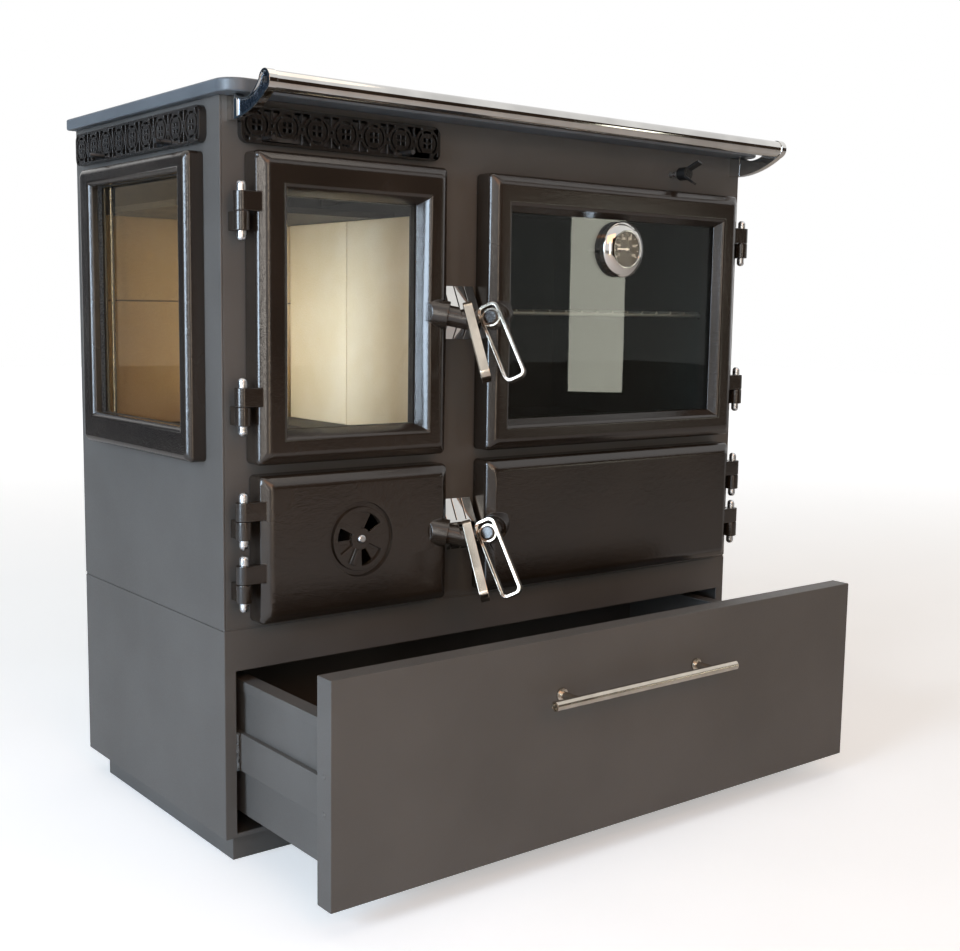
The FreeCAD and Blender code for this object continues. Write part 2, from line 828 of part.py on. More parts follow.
def boss(foot):
    """Leaning boss with a flange, cut square to the loop's axis, and the spigot on it."""
    sink = foot - boss_b * boss_sink
    seat = boss_seat(foot)
    reach = 2 * (boss_len + boss_sink)
    low = foot.z - reach
    high = foot.z + reach
    body = join([
        rod(sink, boss_b, boss_sink + boss_flange_h, boss_flange_r),
        rod(sink, boss_b, boss_sink + boss_len + boss_r, boss_r),
    ])
    step = seat - boss_n * boss_shoulder
    turned = rod(step, boss_n, boss_shoulder, reach).cut(rod(step, boss_n, boss_shoulder, boss_r))
    body = body.cut([rod(seat, boss_n, reach, reach), turned])
    root = seat - boss_n * spigot_r
    body = join([body, rod(root, boss_n, spigot_r + loop_deep + loop_play, spigot_r)])
    behind = box(foot.x - reach, foot.x + reach, foot.y + boss_root, foot.y + reach, low, high)
    beside = box(foot.x - reach, foot.x - boss_trim, foot.y - reach, foot.y + reach, low, high)
    return body.cut([behind, beside])


def loop_block(bar, corner):
    """Upright round-cornered block that hangs from the spigot's axis, one loop deep."""
    half = hub_r + bar
    lower = hub_r + loop_bar - half - loop_low
    upper = loop_up + half - hub_r - loop_bar
    return prism((-half, half, lower, upper), corner, -loop_deep, 0)


def handle_loop(foot):
    """Closed flat-bar loop with a bush near its upper end and the tongue that meets the catch."""
    ring = loop_block(loop_bar, loop_corner_r).cut(loop_block(0, loop_corner_r - loop_bar))
    turn = Rotation(loop_c, boss_n * -1, loop_l * -1, "ZXY")
    start = boss_seat(foot) + boss_n * (loop_play / 2)
    ring.Placement = FreeCAD.Placement(start, turn)
    bush = rod(start, boss_n, loop_deep, hub_r + loop_bar / 2)
    root = start + boss_n * (loop_deep - tongue_r) + loop_c * (hub_r - tongue_r)
    tip = Vector(meet_x - tongue_set, front - catch_deep - tongue_gap, root.z)
    tongue = rod(root, tip - root, (tip - root).Length, tongue_r)
    bore = rod(start - boss_n * over, boss_n, loop_deep + 2 * over, spigot_r + spigot_fit)
    return join([ring, bush, tongue]).cut(bore)


def handle_cap(foot):
    """Domed cap that keeps the loop on its spigot."""
    start = boss_seat(foot) + boss_n * (loop_deep + loop_play)
    cap = rod(start, boss_n, cap_h, cap_r)
    crown = [edge for edge in cap.Edges if edge.Closed]
    crown = max(crown, key=lambda edge: (edge.CenterOfMass - foot).dot(boss_n))
    return cap.makeFillet(cap_h * 0.6, [crown])


def catch(z_top):
    """Chromed keeper between two doors: a strip that stands out in the middle, slit into tabs."""
    x0 = meet_x + catch_off - catch_w / 2
    z0 = z_top - catch_h
    middle = z_top - catch_h / 2
    half = catch_flat / 2
    deep = front - catch_deep
    foot = catch_thick * (catch_h / 2 - half) / catch_deep
    outline = [
        (front, z0), (deep, middle - half), (deep, middle + half), (front, z_top), (front, z_top - foot),
        (deep + catch_thick, middle + half), (deep + catch_thick, middle - half), (front, z0 + foot),
    ]
    points = [Vector(x0, y, z) for y, z in outline]
    strip = Part.Face(Part.makePolygon(points + points[:1])).extrude(Vector(catch_w, 0, 0))
    slits = []
    for index in range(1, catch_tab_count):
        u0 = x0 + index * catch_w / catch_tab_count - catch_slit / 2
        solid = half + catch_slit_stop
        slits.append(box(u0, u0 + catch_slit, deep - over, front + over, middle + solid, z_top + over))
        slits.append(box(u0, u0 + catch_slit, deep - over, front + over, z0 - over, middle - solid))
    return strip.cut(slits)


def hub_height(boss_z):
    return seam + boss_z + boss_b.z * boss_len + boss_n.z * hub_at


# ================================================================ doors
def door_rect(x, width, z, height):
    return (left + x, left + x + width, seam + z, seam + z + height)


def bevelled_block(rect, face, back, bevel_w, bevel_d, radius, across="y"):
    """Casting blank: straight walls and a bevel round the face."""
    step = bevel_d if face < back else -bevel_d
    inner = inset(rect, bevel_w, bevel_w, bevel_w, bevel_w)
    walls = prism(rect, radius, face + step, back, across)
    crown = taper(inner, rect, radius, face, face + step, across)
    return join([walls, crown])


def seal_channel(rect, depth):
    outer = inset(rect, channel_in, channel_in, channel_in, channel_in)
    inner = inset(outer, channel_w, channel_w, channel_w, channel_w)
    start = door_back - depth
    return prism(outer, 0, start, door_back + over).cut(prism(inner, 0, start, door_back + over))


def seal_ring(rect):
    """Rope seal that fills the mouth of the channel behind a door."""
    outer = inset(rect, channel_in, channel_in, channel_in, channel_in)
    inner = inset(outer, channel_w, channel_w, channel_w, channel_w)
    start = door_back - seal_depth
    return prism(outer, 0, start, door_back).cut(prism(inner, 0, start, door_back))


def glazed_inner(rect, hinge_left):
    near = frame_hinge_side if hinge_left else frame_free_side
    far = frame_free_side if hinge_left else frame_hinge_side
    return inset(rect, near, far, frame_bottom, frame_top)


def glazed_casting(rect, hinge_left, depth):
    """Door frame: bevelled outside, a stepped inner edge and a pocket for the glass."""
    block = bevelled_block(rect, door_face, door_back, door_bevel_w, door_bevel_d, door_corner_r)
    arris = glazed_inner(rect, hinge_left)
    step = inset(arris, inner_bevel_w, inner_bevel_w, inner_bevel_w, inner_bevel_w)
    hole = inset(step, inner_ledge_w, inner_ledge_w, inner_ledge_w, inner_ledge_w)
    flare = inner_bevel_w * over / inner_bevel_d
    cuts = [
        taper(grown(arris, flare), step, 0, door_face - over, door_face + inner_bevel_d),
        taper(step, hole, 0, door_face + inner_bevel_d, door_face + depth),
        prism(hole, 0, door_face, door_back + over),
        prism(grown(hole, glass_lap + glass_gap), 0, door_face + depth, door_back + over),
        seal_channel(rect, channel_depth),
    ]
    for cutter in cuts:
        block = block.cut(cutter)
    return block, hole


def door_glass(hole, depth):
    start = door_face + depth
    return prism(grown(hole, glass_lap), 0, start, start + glass_thick)


def glass_frame(hole, depth):
    """Steel frame that holds the glass against its ledge."""
    start = door_face + depth + glass_thick
    outer = grown(hole, glass_lap)
    return prism(outer, 0, start, door_back).cut(prism(hole, 0, start - over, door_back + over))


def plain_casting(rect):
    """Low door: bevelled plate, hollow behind, with the seal channel's inner wall."""
    block = bevelled_block(rect, door_face, door_back, door_bevel_w, door_bevel_d, door_corner_r)
    deep = door_proud - door_gap - channel_depth
    inner = channel_in + channel_w + door_wall
    hollow = prism(inset(rect, inner, inner, inner, inner), 0, door_face + deep, door_back + over)
    return block.cut([hollow, seal_channel(rect, channel_depth)])


def with_hinges(casting, rect, splits, hinge_left):
    pin_x = left_pin_x if hinge_left else -left_pin_x
    edge_x = rect[0] if hinge_left else rect[1]
    knuckles = [door_knuckle(split, edge_x, pin_x) for split in splits]
    bores = [knuckle_bore(split, pin_x) for split in splits]
    return join([casting] + knuckles).cut(bores)


def with_boss(casting, rect, z, hinge_left):
    if hinge_left:
        return join([casting, boss(boss_foot(rect[1], z))])
    other = boss(boss_foot(2 * meet_x - rect[0], z)).mirror(Vector(meet_x, 0, 0), Vector(1, 0, 0))
    return join([casting, other])


def door_handle(rect, z, hinge_left):
    """Loop and cap of a door, on the boss near its free edge."""
    if hinge_left:
        foot = boss_foot(rect[1], z)
        return handle_loop(foot), handle_cap(foot)
    foot = boss_foot(2 * meet_x - rect[0], z)
    seen = Vector(meet_x, 0, 0)
    across = Vector(1, 0, 0)
    return handle_loop(foot).mirror(seen, across), handle_cap(foot).mirror(seen, across)


fire_rect = door_rect(fire_door_x, left_door_w, upper_door_z, upper_door_h)
ash_rect = door_rect(ash_door_x, left_door_w, lower_door_z, lower_door_h)
oven_rect = door_rect(oven_door_x, oven_door_w, upper_door_z, upper_door_h)
store_rect = door_rect(store_door_x, store_door_w, lower_door_z, lower_door_h)


# ================================================================ air rosette
rosette_z = seam + lower_door_z + lower_door_h / 2 + rosette_up
rosette_centre = Vector((ash_rect[0] + ash_rect[1]) / 2, door_face + rosette_sink, rosette_z)


def sector(inner_r, outer_r, angle, arc, y0, y1):
    """Ring sector about the rosette's axis, angles anticlockwise seen from the front."""
    angles = (angle, angle + arc)
    return ring_sector(rosette_centre.x, rosette_centre.z, (inner_r, outer_r), angles, (y0, y1), "y")


def ash_door():
    casting = plain_casting(ash_rect)
    back = Vector(0, 1, 0)
    recess = rod(rosette_centre - back * (rosette_sink + over), back, rosette_sink + over, rosette_ring_r)
    cuts = [recess]
    for index in range(rosette_windows):
        angle = hole_turn + index * 360 / rosette_windows
        start = rosette_centre.y - over
        cuts.append(sector(hole_in_r, hole_out_r, angle, window_arc, start, door_back + over))
    cuts.append(rod(rosette_centre - back * over, back, door_proud, screw_r))
    casting = casting.cut(cuts)
    casting = with_boss(casting, ash_rect, lower_boss_z, True)
    return with_hinges(casting, ash_rect, lower_splits, True)


def air_rosette():
    forward = Vector(0, -1, 0)
    start = rosette_centre + forward * rosette_gap
    disc = rod(start, forward, rosette_t, rosette_r)
    y0 = start.y - rosette_t
    cuts = []
    for index in range(rosette_windows):
        angle = rosette_turn + index * 360 / rosette_windows
        cuts.append(sector(hole_in_r, hole_out_r, angle, window_arc, y0 - over, start.y + over))
    cuts.append(rod(start - forward * over, forward, rosette_t + 2 * over, screw_r + pin_fit))
    disc = disc.cut(cuts)
    grip = box(
        rosette_centre.x + hole_in_r, rosette_centre.x + hole_out_r, y0 - grip_h, y0,
        rosette_centre.z - grip_w / 2, rosette_centre.z + grip_w / 2,
    )
    grip.rotate(rosette_centre, Vector(0, -1, 0), grip_angle)
    return join([disc, grip])


def rosette_screw():
    forward = Vector(0, -1, 0)
    deep = door_proud - door_gap - channel_depth - rosette_sink
    under_head = rosette_t + 2 * rosette_gap
    shank = rod(rosette_centre - forward * deep, forward, deep + under_head, screw_r)
    head = rod(rosette_centre + forward * under_head, forward, screw_head_h, screw_head_r)
    crown = min([edge for edge in head.Edges if edge.Closed], key=lambda edge: edge.CenterOfMass.y)
    return join([shank, head.makeFillet(screw_head_h * 0.7, [crown])])


# ================================================================ thermometer
glass_hole_top = glazed_inner(oven_rect, False)[3] - inner_bevel_w - inner_ledge_w
gauge_z = glass_hole_top - gauge_up_gap - gauge_r
gauge_centre = Vector((oven_rect[0] + oven_rect[1]) / 2, door_face + oven_glass_depth, gauge_z)


def thermometer_case():
    forward = Vector(0, -1, 0)
    ring_at = gauge_centre + forward * gauge_wall
    ring = Part.makeCone(gauge_r, gauge_rim_r, gauge_deep - gauge_wall, ring_at, forward)
    case = join([rod(gauge_centre, forward, gauge_wall, gauge_r), ring])
    dial_at = gauge_centre + forward * (gauge_deep - gauge_dial_sink)
    dial = rod(dial_at, forward, gauge_dial_sink + over, gauge_dial_r)
    stem = rod(gauge_centre, Vector(0, 1, 0), stem_len, stem_r)
    return join([case.cut(dial), stem])


def stem_hole():
    back = Vector(0, 1, 0)
    return rod(gauge_centre - back * over, back, glass_thick + 2 * over, stem_r + stem_fit)


def thermometer_needle():
    forward = Vector(0, -1, 0)
    y1 = gauge_centre.y - gauge_deep + gauge_dial_sink - needle_gap
    hub = rod(Vector(gauge_centre.x, y1, gauge_centre.z), forward, needle_t, needle_w)
    tail = needle_l / 4
    hand = box(
        gauge_centre.x - needle_l, gauge_centre.x + tail, y1 - needle_t, y1,
        gauge_centre.z - needle_w / 2, gauge_centre.z + needle_w / 2,
    )
    return join([hub, hand])


# ================================================================ side window
window_face = left - window_proud
window_ledge = left - window_glass_back - glass_thick


def window_frame():
    bevel = (window_bevel_w, window_bevel_d)
    casting = bevelled_block(window_outer, window_face, left, *bevel, door_corner_r, "x")
    mouth = grown(window_arris, window_inner_w * over / window_inner_d)
    cuts = [
        taper(mouth, window_hole, 0, window_face - over, window_face + window_inner_d, "x"),
        prism(window_hole, 0, window_face, left + over, "x"),
        prism(grown(window_hole, glass_lap + glass_gap), 0, window_ledge - window_seal, left + over, "x"),
    ]
    for cutter in cuts:
        casting = casting.cut(cutter)
    return casting


def window_gasket():
    """Rope between the frame's ledge and the glass."""
    outer = grown(window_hole, glass_lap)
    ring = prism(outer, 0, window_ledge - window_seal, window_ledge, "x")
    return ring.cut(prism(window_hole, 0, window_ledge - window_seal - over, window_ledge + over, "x"))


def window_glass():
    return prism(grown(window_hole, glass_lap), 0, window_ledge, window_ledge + glass_thick, "x")


def window_rods():
    """Two upright rods behind the glass that clamp it from the firebox side."""
    y0, y1, z0, z1 = window_hole
    x = left + sheet + window_rod_r
    solids = []
    for y in (y0 + window_rod_in, y1 - window_rod_in):
        bar = rod(Vector(x, y, z0 - glass_lap), Vector(0, 0, 1), z1 - z0 + 2 * glass_lap, window_rod_r)
        solids.append(bar)
    return Part.makeCompound(solids)


# ================================================================ grilles and shutters
def grille(rect, count, wall, way, across, studs):
    """Pierced casting: a rim, a row of round motifs and two slots for the studs."""
    face = wall + way * grille_thick
    body = prism(rect, grille_corner_r, min(wall, face), max(wall, face), across)
    room = inset(rect, grille_rim, grille_rim, grille_rim, grille_rim)
    deep = wall + way * grille_recess
    body = body.cut(prism(room, 1.0, min(wall - way * over, deep), max(wall - way * over, deep), across))
    low = min(wall, face) - over
    high = low + grille_thick + 2 * over
    normal = Vector(0, 1, 0) if across == "y" else Vector(1, 0, 0)
    ring_r = disc_r + disc_gap
    corner_high = grille_h / 2 - corner_margin

    def hole(u0, u1, v0, v1):
        return prism((min(u0, u1), max(u0, u1), min(v0, v1), max(v0, v1)), 0, low, high, across)

    def motif(u, v):
        holes = []
        for turn in range(4):
            arc = side_arc_angle if turn % 2 == 0 else end_arc_angle
            angles = (90 * turn - arc / 2, 90 * turn + arc / 2)
            holes.append(ring_sector(u, v, (disc_r, ring_r), angles, (low, high), across))
        for du, dv in ((1, 1), (-1, 1), (1, -1), (-1, -1)):
            pu = u + du * pane_out
            pv = v + dv * pane_out
            holes.append(hole(pu - pane / 2, pu + pane / 2, pv - pane / 2, pv + pane / 2))
            end = rect[1] - grille_rim if du > 0 else rect[0] + grille_rim
            web = u + du * (pitch / 2 - corner_web)
            reach = min(web, end) if du > 0 else max(web, end)
            corner = hole(u + du * corner_from, reach, v + dv * corner_low, v + dv * corner_high)
            start = Vector(u, low, v) if across == "y" else Vector(low, u, v)
            holes.append(corner.cut(rod(start, normal, high - low, ring_r + disc_ring)))
        return holes

    pitch = (rect[1] - rect[0]) / count
    middle = (rect[2] + rect[3]) / 2
    side = gap_hole / 2
    cuts = []
    for index in range(count):
        u = rect[0] + pitch * (index + 0.5)
        cuts += motif(u, middle)
        if index:
            web = u - pitch / 2
            cuts.append(hole(web - side, web + side, middle - side, middle + side))
    body = body.cut(cuts)
    half = stud_r + slot_play
    v = rect[2] + stud_up
    for start in studs:
        slot = (start - half, start + shutter_travel + half, v - half, v + half)
        body = body.cut(prism(slot, half * 0.9, low, high, across))
    return body


def shutter(rect, wall, way, across, studs):
    """Sliding plate behind a grille, with its two studs."""
    room = inset(rect, grille_rim, grille_rim + shutter_travel, grille_rim, grille_rim)
    room = inset(room, shutter_gap, shutter_gap, shutter_gap, shutter_gap)
    near = wall + way * shutter_gap
    far = near + way * shutter_thick
    plate = prism(room, 0.8, min(near, far), max(near, far), across)
    pitch = vent_slot_w + vent_bridge
    count = int((room[1] - room[0] - vent_bridge) // pitch)
    middle = (rect[2] + rect[3]) / 2
    for index in range(count):
        u0 = room[0] + vent_bridge / 2 + index * pitch
        slot = (u0, u0 + vent_slot_w, middle - vent_slot_h / 2, middle + vent_slot_h / 2)
        plate = plate.cut(prism(slot, vent_slot_h / 3, min(near, far) - over, max(near, far) + over, across))
    direction = Vector(0, way, 0) if across == "y" else Vector(way, 0, 0)
    parts = [plate]
    for start in studs:
        v = rect[2] + stud_up
        base = Vector(start, near, v) if across == "y" else Vector(near, start, v)
        parts.append(rod(base, direction, grille_thick + stud_len, stud_r))
    return join(parts)


front_studs = (front_grille_rect[0] + front_stud_near, front_grille_rect[1] - front_stud_far)
side_studs = (side_grille_rect[0] + side_stud_near, side_grille_rect[1] - side_stud_far)


# ================================================================ firebox
chamber_left = left + chamber_x
chamber_right = partition_left - chamber_side_gap
chamber_rear = rear - sheet - chamber_rear_gap
chamber_floor = ash_opening[2]
grate_top = fire_opening[2]
grate_under = grate_top - grate_thick
brick_top = top - brick_down
brick_face_x = partition_left - brick_thick
brick_rear = rear - sheet - brick_rear_gap
brick_face_y = brick_rear - brick_thick


def ash_chamber():
    """Open-fronted steel box that holds the ash pan and carries the grate."""
    y1 = chamber_rear
    t = sheet
    walls = [
        box(chamber_left, chamber_right, plate_back, y1, chamber_floor - t, chamber_floor),
        box(chamber_left, chamber_left + t, plate_back, y1, chamber_floor - t, grate_under),
        box(chamber_right - t, chamber_right, plate_back, y1, chamber_floor - t, grate_under),
        box(chamber_left, chamber_right, y1 - t, y1, chamber_floor - t, grate_under),
    ]
    return join(walls)


def ash_pan():
    middle = (ash_opening[0] + ash_opening[1]) / 2
    x0 = middle - ash_pan_w / 2
    x1 = middle + ash_pan_w / 2
    y0 = plate_back + ash_pan_back
    y1 = chamber_rear - sheet - ash_pan_rear_gap
    z0 = chamber_floor + ash_pan_gap
    z1 = z0 + ash_pan_h
    t = ash_pan_wall
    pan = box(x0, x1, y0, y1, z0, z1).cut(box(x0 + t, x1 - t, y0 + t, y1 - t, z0 + t, z1 + over))
    grip_z = z1 - pan_grip_h
    half = pan_grip_w / 2
    grip_y = y0 - pan_grip_out
    grip = box(middle - half, middle + half, grip_y, y0, grip_z, z1)
    grip = grip.cut(box(middle - half + t, middle + half - t, grip_y + t, y0, grip_z - over, z1 - t))
    return join([pan, grip])


def fire_grate():
    """Cast floor of the firebox with the slots that let ash through."""
    plate = box(left + sheet, partition_left, plate_back, brick_rear, grate_under, grate_top)
    pitch = grate_slot_w + grate_bar_w
    count = int(grate_slot_span // pitch)
    slots = []
    for index in range(count):
        u0 = left + grate_slot_x + index * pitch
        y0 = front + grate_from_front
        slots.append(box(u0, u0 + grate_slot_w, y0, y0 + grate_slot_l, grate_under - over, grate_top + over))
    return plate.cut(slots)


def fire_bricks():
    """Two tall bricks on the partition, two courses on the back wall."""
    joint_y = front + wall_joint_y
    joint_z = grate_top + lower_course_h
    half = brick_joint / 2
    x0 = left + sheet
    x1 = partition_left
    solids = [
        box(brick_face_x, x1, plate_back, joint_y - half, grate_top, brick_top),
        box(brick_face_x, x1, joint_y + half, brick_face_y, grate_top, brick_top),
        box(x0, x1, brick_face_y, brick_rear, grate_top, joint_z - half),
        box(x0, x1, brick_face_y, brick_rear, joint_z + half, brick_top),
    ]
    return Part.makeCompound(solids)


def fire_baffle():
    """Plate on the bricks that turns the flames towards the top plate."""
    x0 = left + sheet + baffle_side_gap
    return box(x0, partition_left, front + baffle_front, brick_rear, brick_top, brick_top + baffle_thick)


# ================================================================ oven
oven_rear = rear - sheet - oven_rear_gap - oven_wall
damper_end = oven_rear - damper_rear_in


def oven_box():
    x0, x1, z0, z1 = oven_opening
    t = oven_wall
    y0 = plate_back
    y1 = oven_rear
    shell = box(x0 - t, x1 + t, y0, y1 + t, z0 - t, z1 + t).cut(box(x0, x1, y0 - over, y1, z0, z1))
    ledge_z = z0 + rack_up
    parts = [shell]
    for u0, u1 in ((x0, x0 + ledge_w), (x1 - ledge_w, x1)):
        parts.append(box(u0, u1, y0 + rack_front, y1, ledge_z - ledge_t, ledge_z))
    half = bearing_w / 2
    y0 = damper_end - bearing_t
    post = box(damper_x - half, damper_x + half, y0, damper_end, z1 + t, damper_z + bearing_over)
    start = Vector(damper_x, y0 - over, damper_z)
    parts.append(post.cut(rod(start, Vector(0, 1, 0), bearing_t + 2 * over, damper_r + damper_fit)))
    return join(parts)


def oven_rack():
    x0 = oven_opening[0] + rack_gap
    x1 = oven_opening[1] - rack_gap
    y0 = plate_back + rack_front
    y1 = oven_rear - rack_rear_gap
    z = oven_opening[2] + rack_up + rack_rod_r + rack_rest_gap
    r = rack_rod_r
    across = Vector(1, 0, 0)
    along = Vector(0, 1, 0)
    parts = [
        rod(Vector(x0, y0 + r, z), across, x1 - x0, r),
        rod(Vector(x0, y1 - r, z), across, x1 - x0, r),
    ]
    top_z = z + r + rack_wire_r * 0.5
    pitch = (x1 - x0 - 4 * r) / (rack_wires - 1)
    for index in range(rack_wires):
        x = x0 + 2 * r + index * pitch
        parts.append(rod(Vector(x, y0, top_z), along, y1 - y0, rack_wire_r))
    return join(parts)


# ================================================================ damper
spindle_start = Vector(damper_x, front - knob_stand, damper_z)


def damper_spindle():
    back = Vector(0, 1, 0)
    spindle = rod(spindle_start, back, damper_end - spindle_start.y, damper_r)
    y0 = front + flap_from_front
    flap = box(
        spindle_start.x - flap_w / 2, spindle_start.x + flap_w / 2, y0, y0 + flap_l,
        spindle_start.z - flap_t / 2, spindle_start.z + flap_t / 2,
    )
    return join([spindle, flap])


def damper_knob():
    """Hub with two wings that spread towards the hand."""
    forward = Vector(0, -1, 0)
    hub = rod(spindle_start, forward, knob_h, knob_r)
    wings = []
    for way in (1, -1):
        wing = box(
            spindle_start.x - wing_h / 2, spindle_start.x + wing_h / 2,
            spindle_start.y - knob_h - wing_l, spindle_start.y - knob_h / 2,
            spindle_start.z - wing_t / 2, spindle_start.z + wing_t / 2,
        )
        wing.rotate(spindle_start - Vector(0, knob_h / 2, 0), Vector(1, 0, 0), -way * wing_flare)
        wing.translate(Vector(0, 0, way * knob_r * 0.35))
        wings.append(wing)
    knob = join([hub] + wings)
    knob.rotate(spindle_start, Vector(0, 1, 0), wing_tilt)
    return knob


# ================================================================ write the parts
def main():
    save("plinth", plinth())
    save("base_casing", base_casing())
    save("drawer_runners", drawer_runners())
    save("drawer_front", drawer_front())
    save("drawer_box", drawer_box())
    save("drawer_slides", drawer_slides())
    save("drawer_handle", drawer_handle())

    save("body_floor", body_floor())
    save("front_plate", front_plate())
    save("side_panel_left", side_panel_left())
    save("side_panel_right", side_panel_right())
    save("back_panel", back_panel())
    save("fire_partition", fire_partition())
    save("flue_spigot", flue_spigot())
    save("hob_plate", hob_plate())
    save("hob_lid", hob_lid())
    save("handrail", handrail())
    save("rail_brackets", rail_brackets())

    save("fixed_knuckles", fixed_knuckles())
    save("hinge_pins", hinge_pins())
    catches = [catch(hub_height(upper_boss_z) + catch_rise), catch(hub_height(lower_boss_z) + catch_rise)]
    save("door_catches", Part.makeCompound(catches))

    casting, hole = glazed_casting(fire_rect, True, glass_depth)
    casting = with_boss(casting, fire_rect, upper_boss_z, True)
    save("fire_door", with_hinges(casting, fire_rect, upper_splits, True))
    save("fire_glass", door_glass(hole, glass_depth))
    save("fire_glass_frame", glass_frame(hole, glass_depth))
    save("fire_seal", seal_ring(fire_rect))

    casting, hole = glazed_casting(oven_rect, False, oven_glass_depth)
    casting = with_boss(casting, oven_rect, upper_boss_z, False)
    save("oven_door", with_hinges(casting, oven_rect, upper_splits, False))
    save("oven_glass", door_glass(hole, oven_glass_depth).cut(stem_hole()))
    save("oven_glass_frame", glass_frame(hole, oven_glass_depth))
    save("oven_seal", seal_ring(oven_rect))
    save("thermometer_case", thermometer_case())
    save("thermometer_needle", thermometer_needle())

    save("ash_door", ash_door())
    save("air_rosette", air_rosette())
    save("rosette_screw", rosette_screw())
    casting = with_boss(plain_casting(store_rect), store_rect, lower_boss_z, False)
    save("store_door", with_hinges(casting, store_rect, lower_splits, False))

    handles = (
        ("fire", fire_rect, upper_boss_z, True), ("oven", oven_rect, upper_boss_z, False),
        ("ash", ash_rect, lower_boss_z, True), ("store", store_rect, lower_boss_z, False),
    )
    for name, rect, z, hinge_left in handles:
        loop, cap = door_handle(rect, z, hinge_left)
        save(name + "_handle", loop)
        save(name + "_handle_cap", cap)

    save("window_frame", window_frame())
    save("window_gasket", window_gasket())
    save("window_glass", window_glass())
    save("window_rods", window_rods())

    save("front_grille", grille(front_grille_rect, front_motif_count, front, -1, "y", front_studs))
    save("front_shutter", shutter(front_grille_rect, front, -1, "y", front_studs))
    save("side_grille", grille(side_grille_rect, side_motif_count, left, -1, "x", side_studs))
    save("side_shutter", shutter(side_grille_rect, left, -1, "x", side_studs))

    save("ash_chamber", ash_chamber())
    save("ash_pan", ash_pan())
    save("fire_grate", fire_grate())
    save("fire_bricks", fire_bricks())
    save("fire_baffle", fire_baffle())
    save("oven_box", oven_box())
    save("oven_rack", oven_rack())
    save("damper_spindle", damper_spindle())
    save("damper_knob", damper_knob())


main()
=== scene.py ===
# %% [markdown]
# # A wood-burning range cooker
#
# The range is a sheet steel body with cast iron doors. Its pieces arrive finished in shape:
# every sheet, casting, hinge and joint is already in the frame, at its real size. This
# notebook gives each of them the surface that the eye expects: rounded edges that catch
# the light, paint with the texture of its coat, polished bars, fire bricks and glass.
#
# All lengths below are metres in the mesh code, and millimetres where a name ends in _mm.

# %% Load the frame
import json
import math

import bmesh
import bpy
from mathutils import Matrix, Vector


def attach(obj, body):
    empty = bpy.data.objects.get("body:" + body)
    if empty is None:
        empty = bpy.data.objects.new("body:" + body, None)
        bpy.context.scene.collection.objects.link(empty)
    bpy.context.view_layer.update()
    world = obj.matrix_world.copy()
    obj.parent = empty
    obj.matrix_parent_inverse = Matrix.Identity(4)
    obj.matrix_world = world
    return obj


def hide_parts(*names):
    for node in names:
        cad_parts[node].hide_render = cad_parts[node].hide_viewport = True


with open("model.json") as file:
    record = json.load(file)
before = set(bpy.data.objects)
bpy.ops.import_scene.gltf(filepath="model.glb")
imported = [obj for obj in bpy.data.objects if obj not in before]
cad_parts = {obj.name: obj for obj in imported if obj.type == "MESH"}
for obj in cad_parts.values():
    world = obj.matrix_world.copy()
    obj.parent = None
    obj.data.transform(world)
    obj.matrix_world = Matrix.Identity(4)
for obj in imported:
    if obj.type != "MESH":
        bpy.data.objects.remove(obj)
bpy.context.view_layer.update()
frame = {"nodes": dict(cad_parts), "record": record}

scene = bpy.context.scene
record = frame["record"]
body_of = {node: body for body, nodes in record["behaviour"]["bodies"].items() for node in nodes}
slot_of = {part["node"]: part["material_slot"] for part in record["subparts"]}
mm = 0.001

# %% [markdown]
# ## Camera
#
# The photograph was taken from the left front corner, a little above the middle of the
# range, with a normal lens. A camera could be aimed with a Track To constraint, but the
# place, turn, dip and roll found from the straight edges of the body say it exactly.

# %% Camera
camera_place = Vector((-1.0890, -1.5109, 0.6400))
camera_turn = math.radians(38.315)
camera_dip = math.radians(7.130)
camera_roll = math.radians(0.862)

ahead = Vector((
    math.sin(camera_turn) * math.cos(camera_dip),
    math.cos(camera_turn) * math.cos(camera_dip),
    -math.sin(camera_dip),
))
level = Vector((math.cos(camera_turn), -math.sin(camera_turn), 0))
upward = level.cross(ahead)
across = level * math.cos(camera_roll) + upward * math.sin(camera_roll)
upright = upward * math.cos(camera_roll) - level * math.sin(camera_roll)

lens = bpy.data.cameras.new("photo_lens")
lens.lens = 49.03
lens.sensor_width = 36.0
lens.sensor_fit = "HORIZONTAL"
camera = bpy.data.objects.new("photo_camera", lens)
scene.collection.objects.link(camera)
camera.matrix_world = Matrix((
    (across.x, upright.x, -ahead.x, camera_place.x),
    (across.y, upright.y, -ahead.y, camera_place.y),
    (across.z, upright.z, -ahead.z, camera_place.z),
    (0, 0, 0, 1),
))
scene.camera = camera
print("camera", round((camera_place - Vector((0, 0, 0.44))).length, 2), "m from the range")

# %% [markdown]
# ## One helper for colours, one for nodes
#
# Paint charts give colours as sRGB hex codes, and the renderer works in linear light, so
# one function turns the first into the second. A node tree is a list of nodes with
# settings and links. One function that adds a node with both keeps each finish short.

# %% Helpers for materials
def hex_to_linear(code):
    parts = [int(code[i:i + 2], 16) / 255 for i in (1, 3, 5)]
    return tuple(c / 12.92 if c <= 0.04045 else ((c + 0.055) / 1.055) ** 2.4 for c in parts) + (1.0,)


def put(tree, kind, inputs=None, **settings):
    """Adds a node. Inputs are values or the sockets that feed them."""
    node = tree.nodes.new("ShaderNode" + kind)
    for name, value in settings.items():
        setattr(node, name, value)
    for name, value in (inputs or {}).items():
        if isinstance(value, bpy.types.NodeSocket):
            tree.links.new(value, node.inputs[name])
        else:
            node.inputs[name].default_value = value
    return node


def new_finish(name):
    """An empty material, its tree and the place of each point in metres."""
    material = bpy.data.materials.new(name)
    material.use_nodes = True
    material.node_tree.nodes.clear()
    place = put(material.node_tree, "TexCoord").outputs["Object"]
    return material, material.node_tree, place


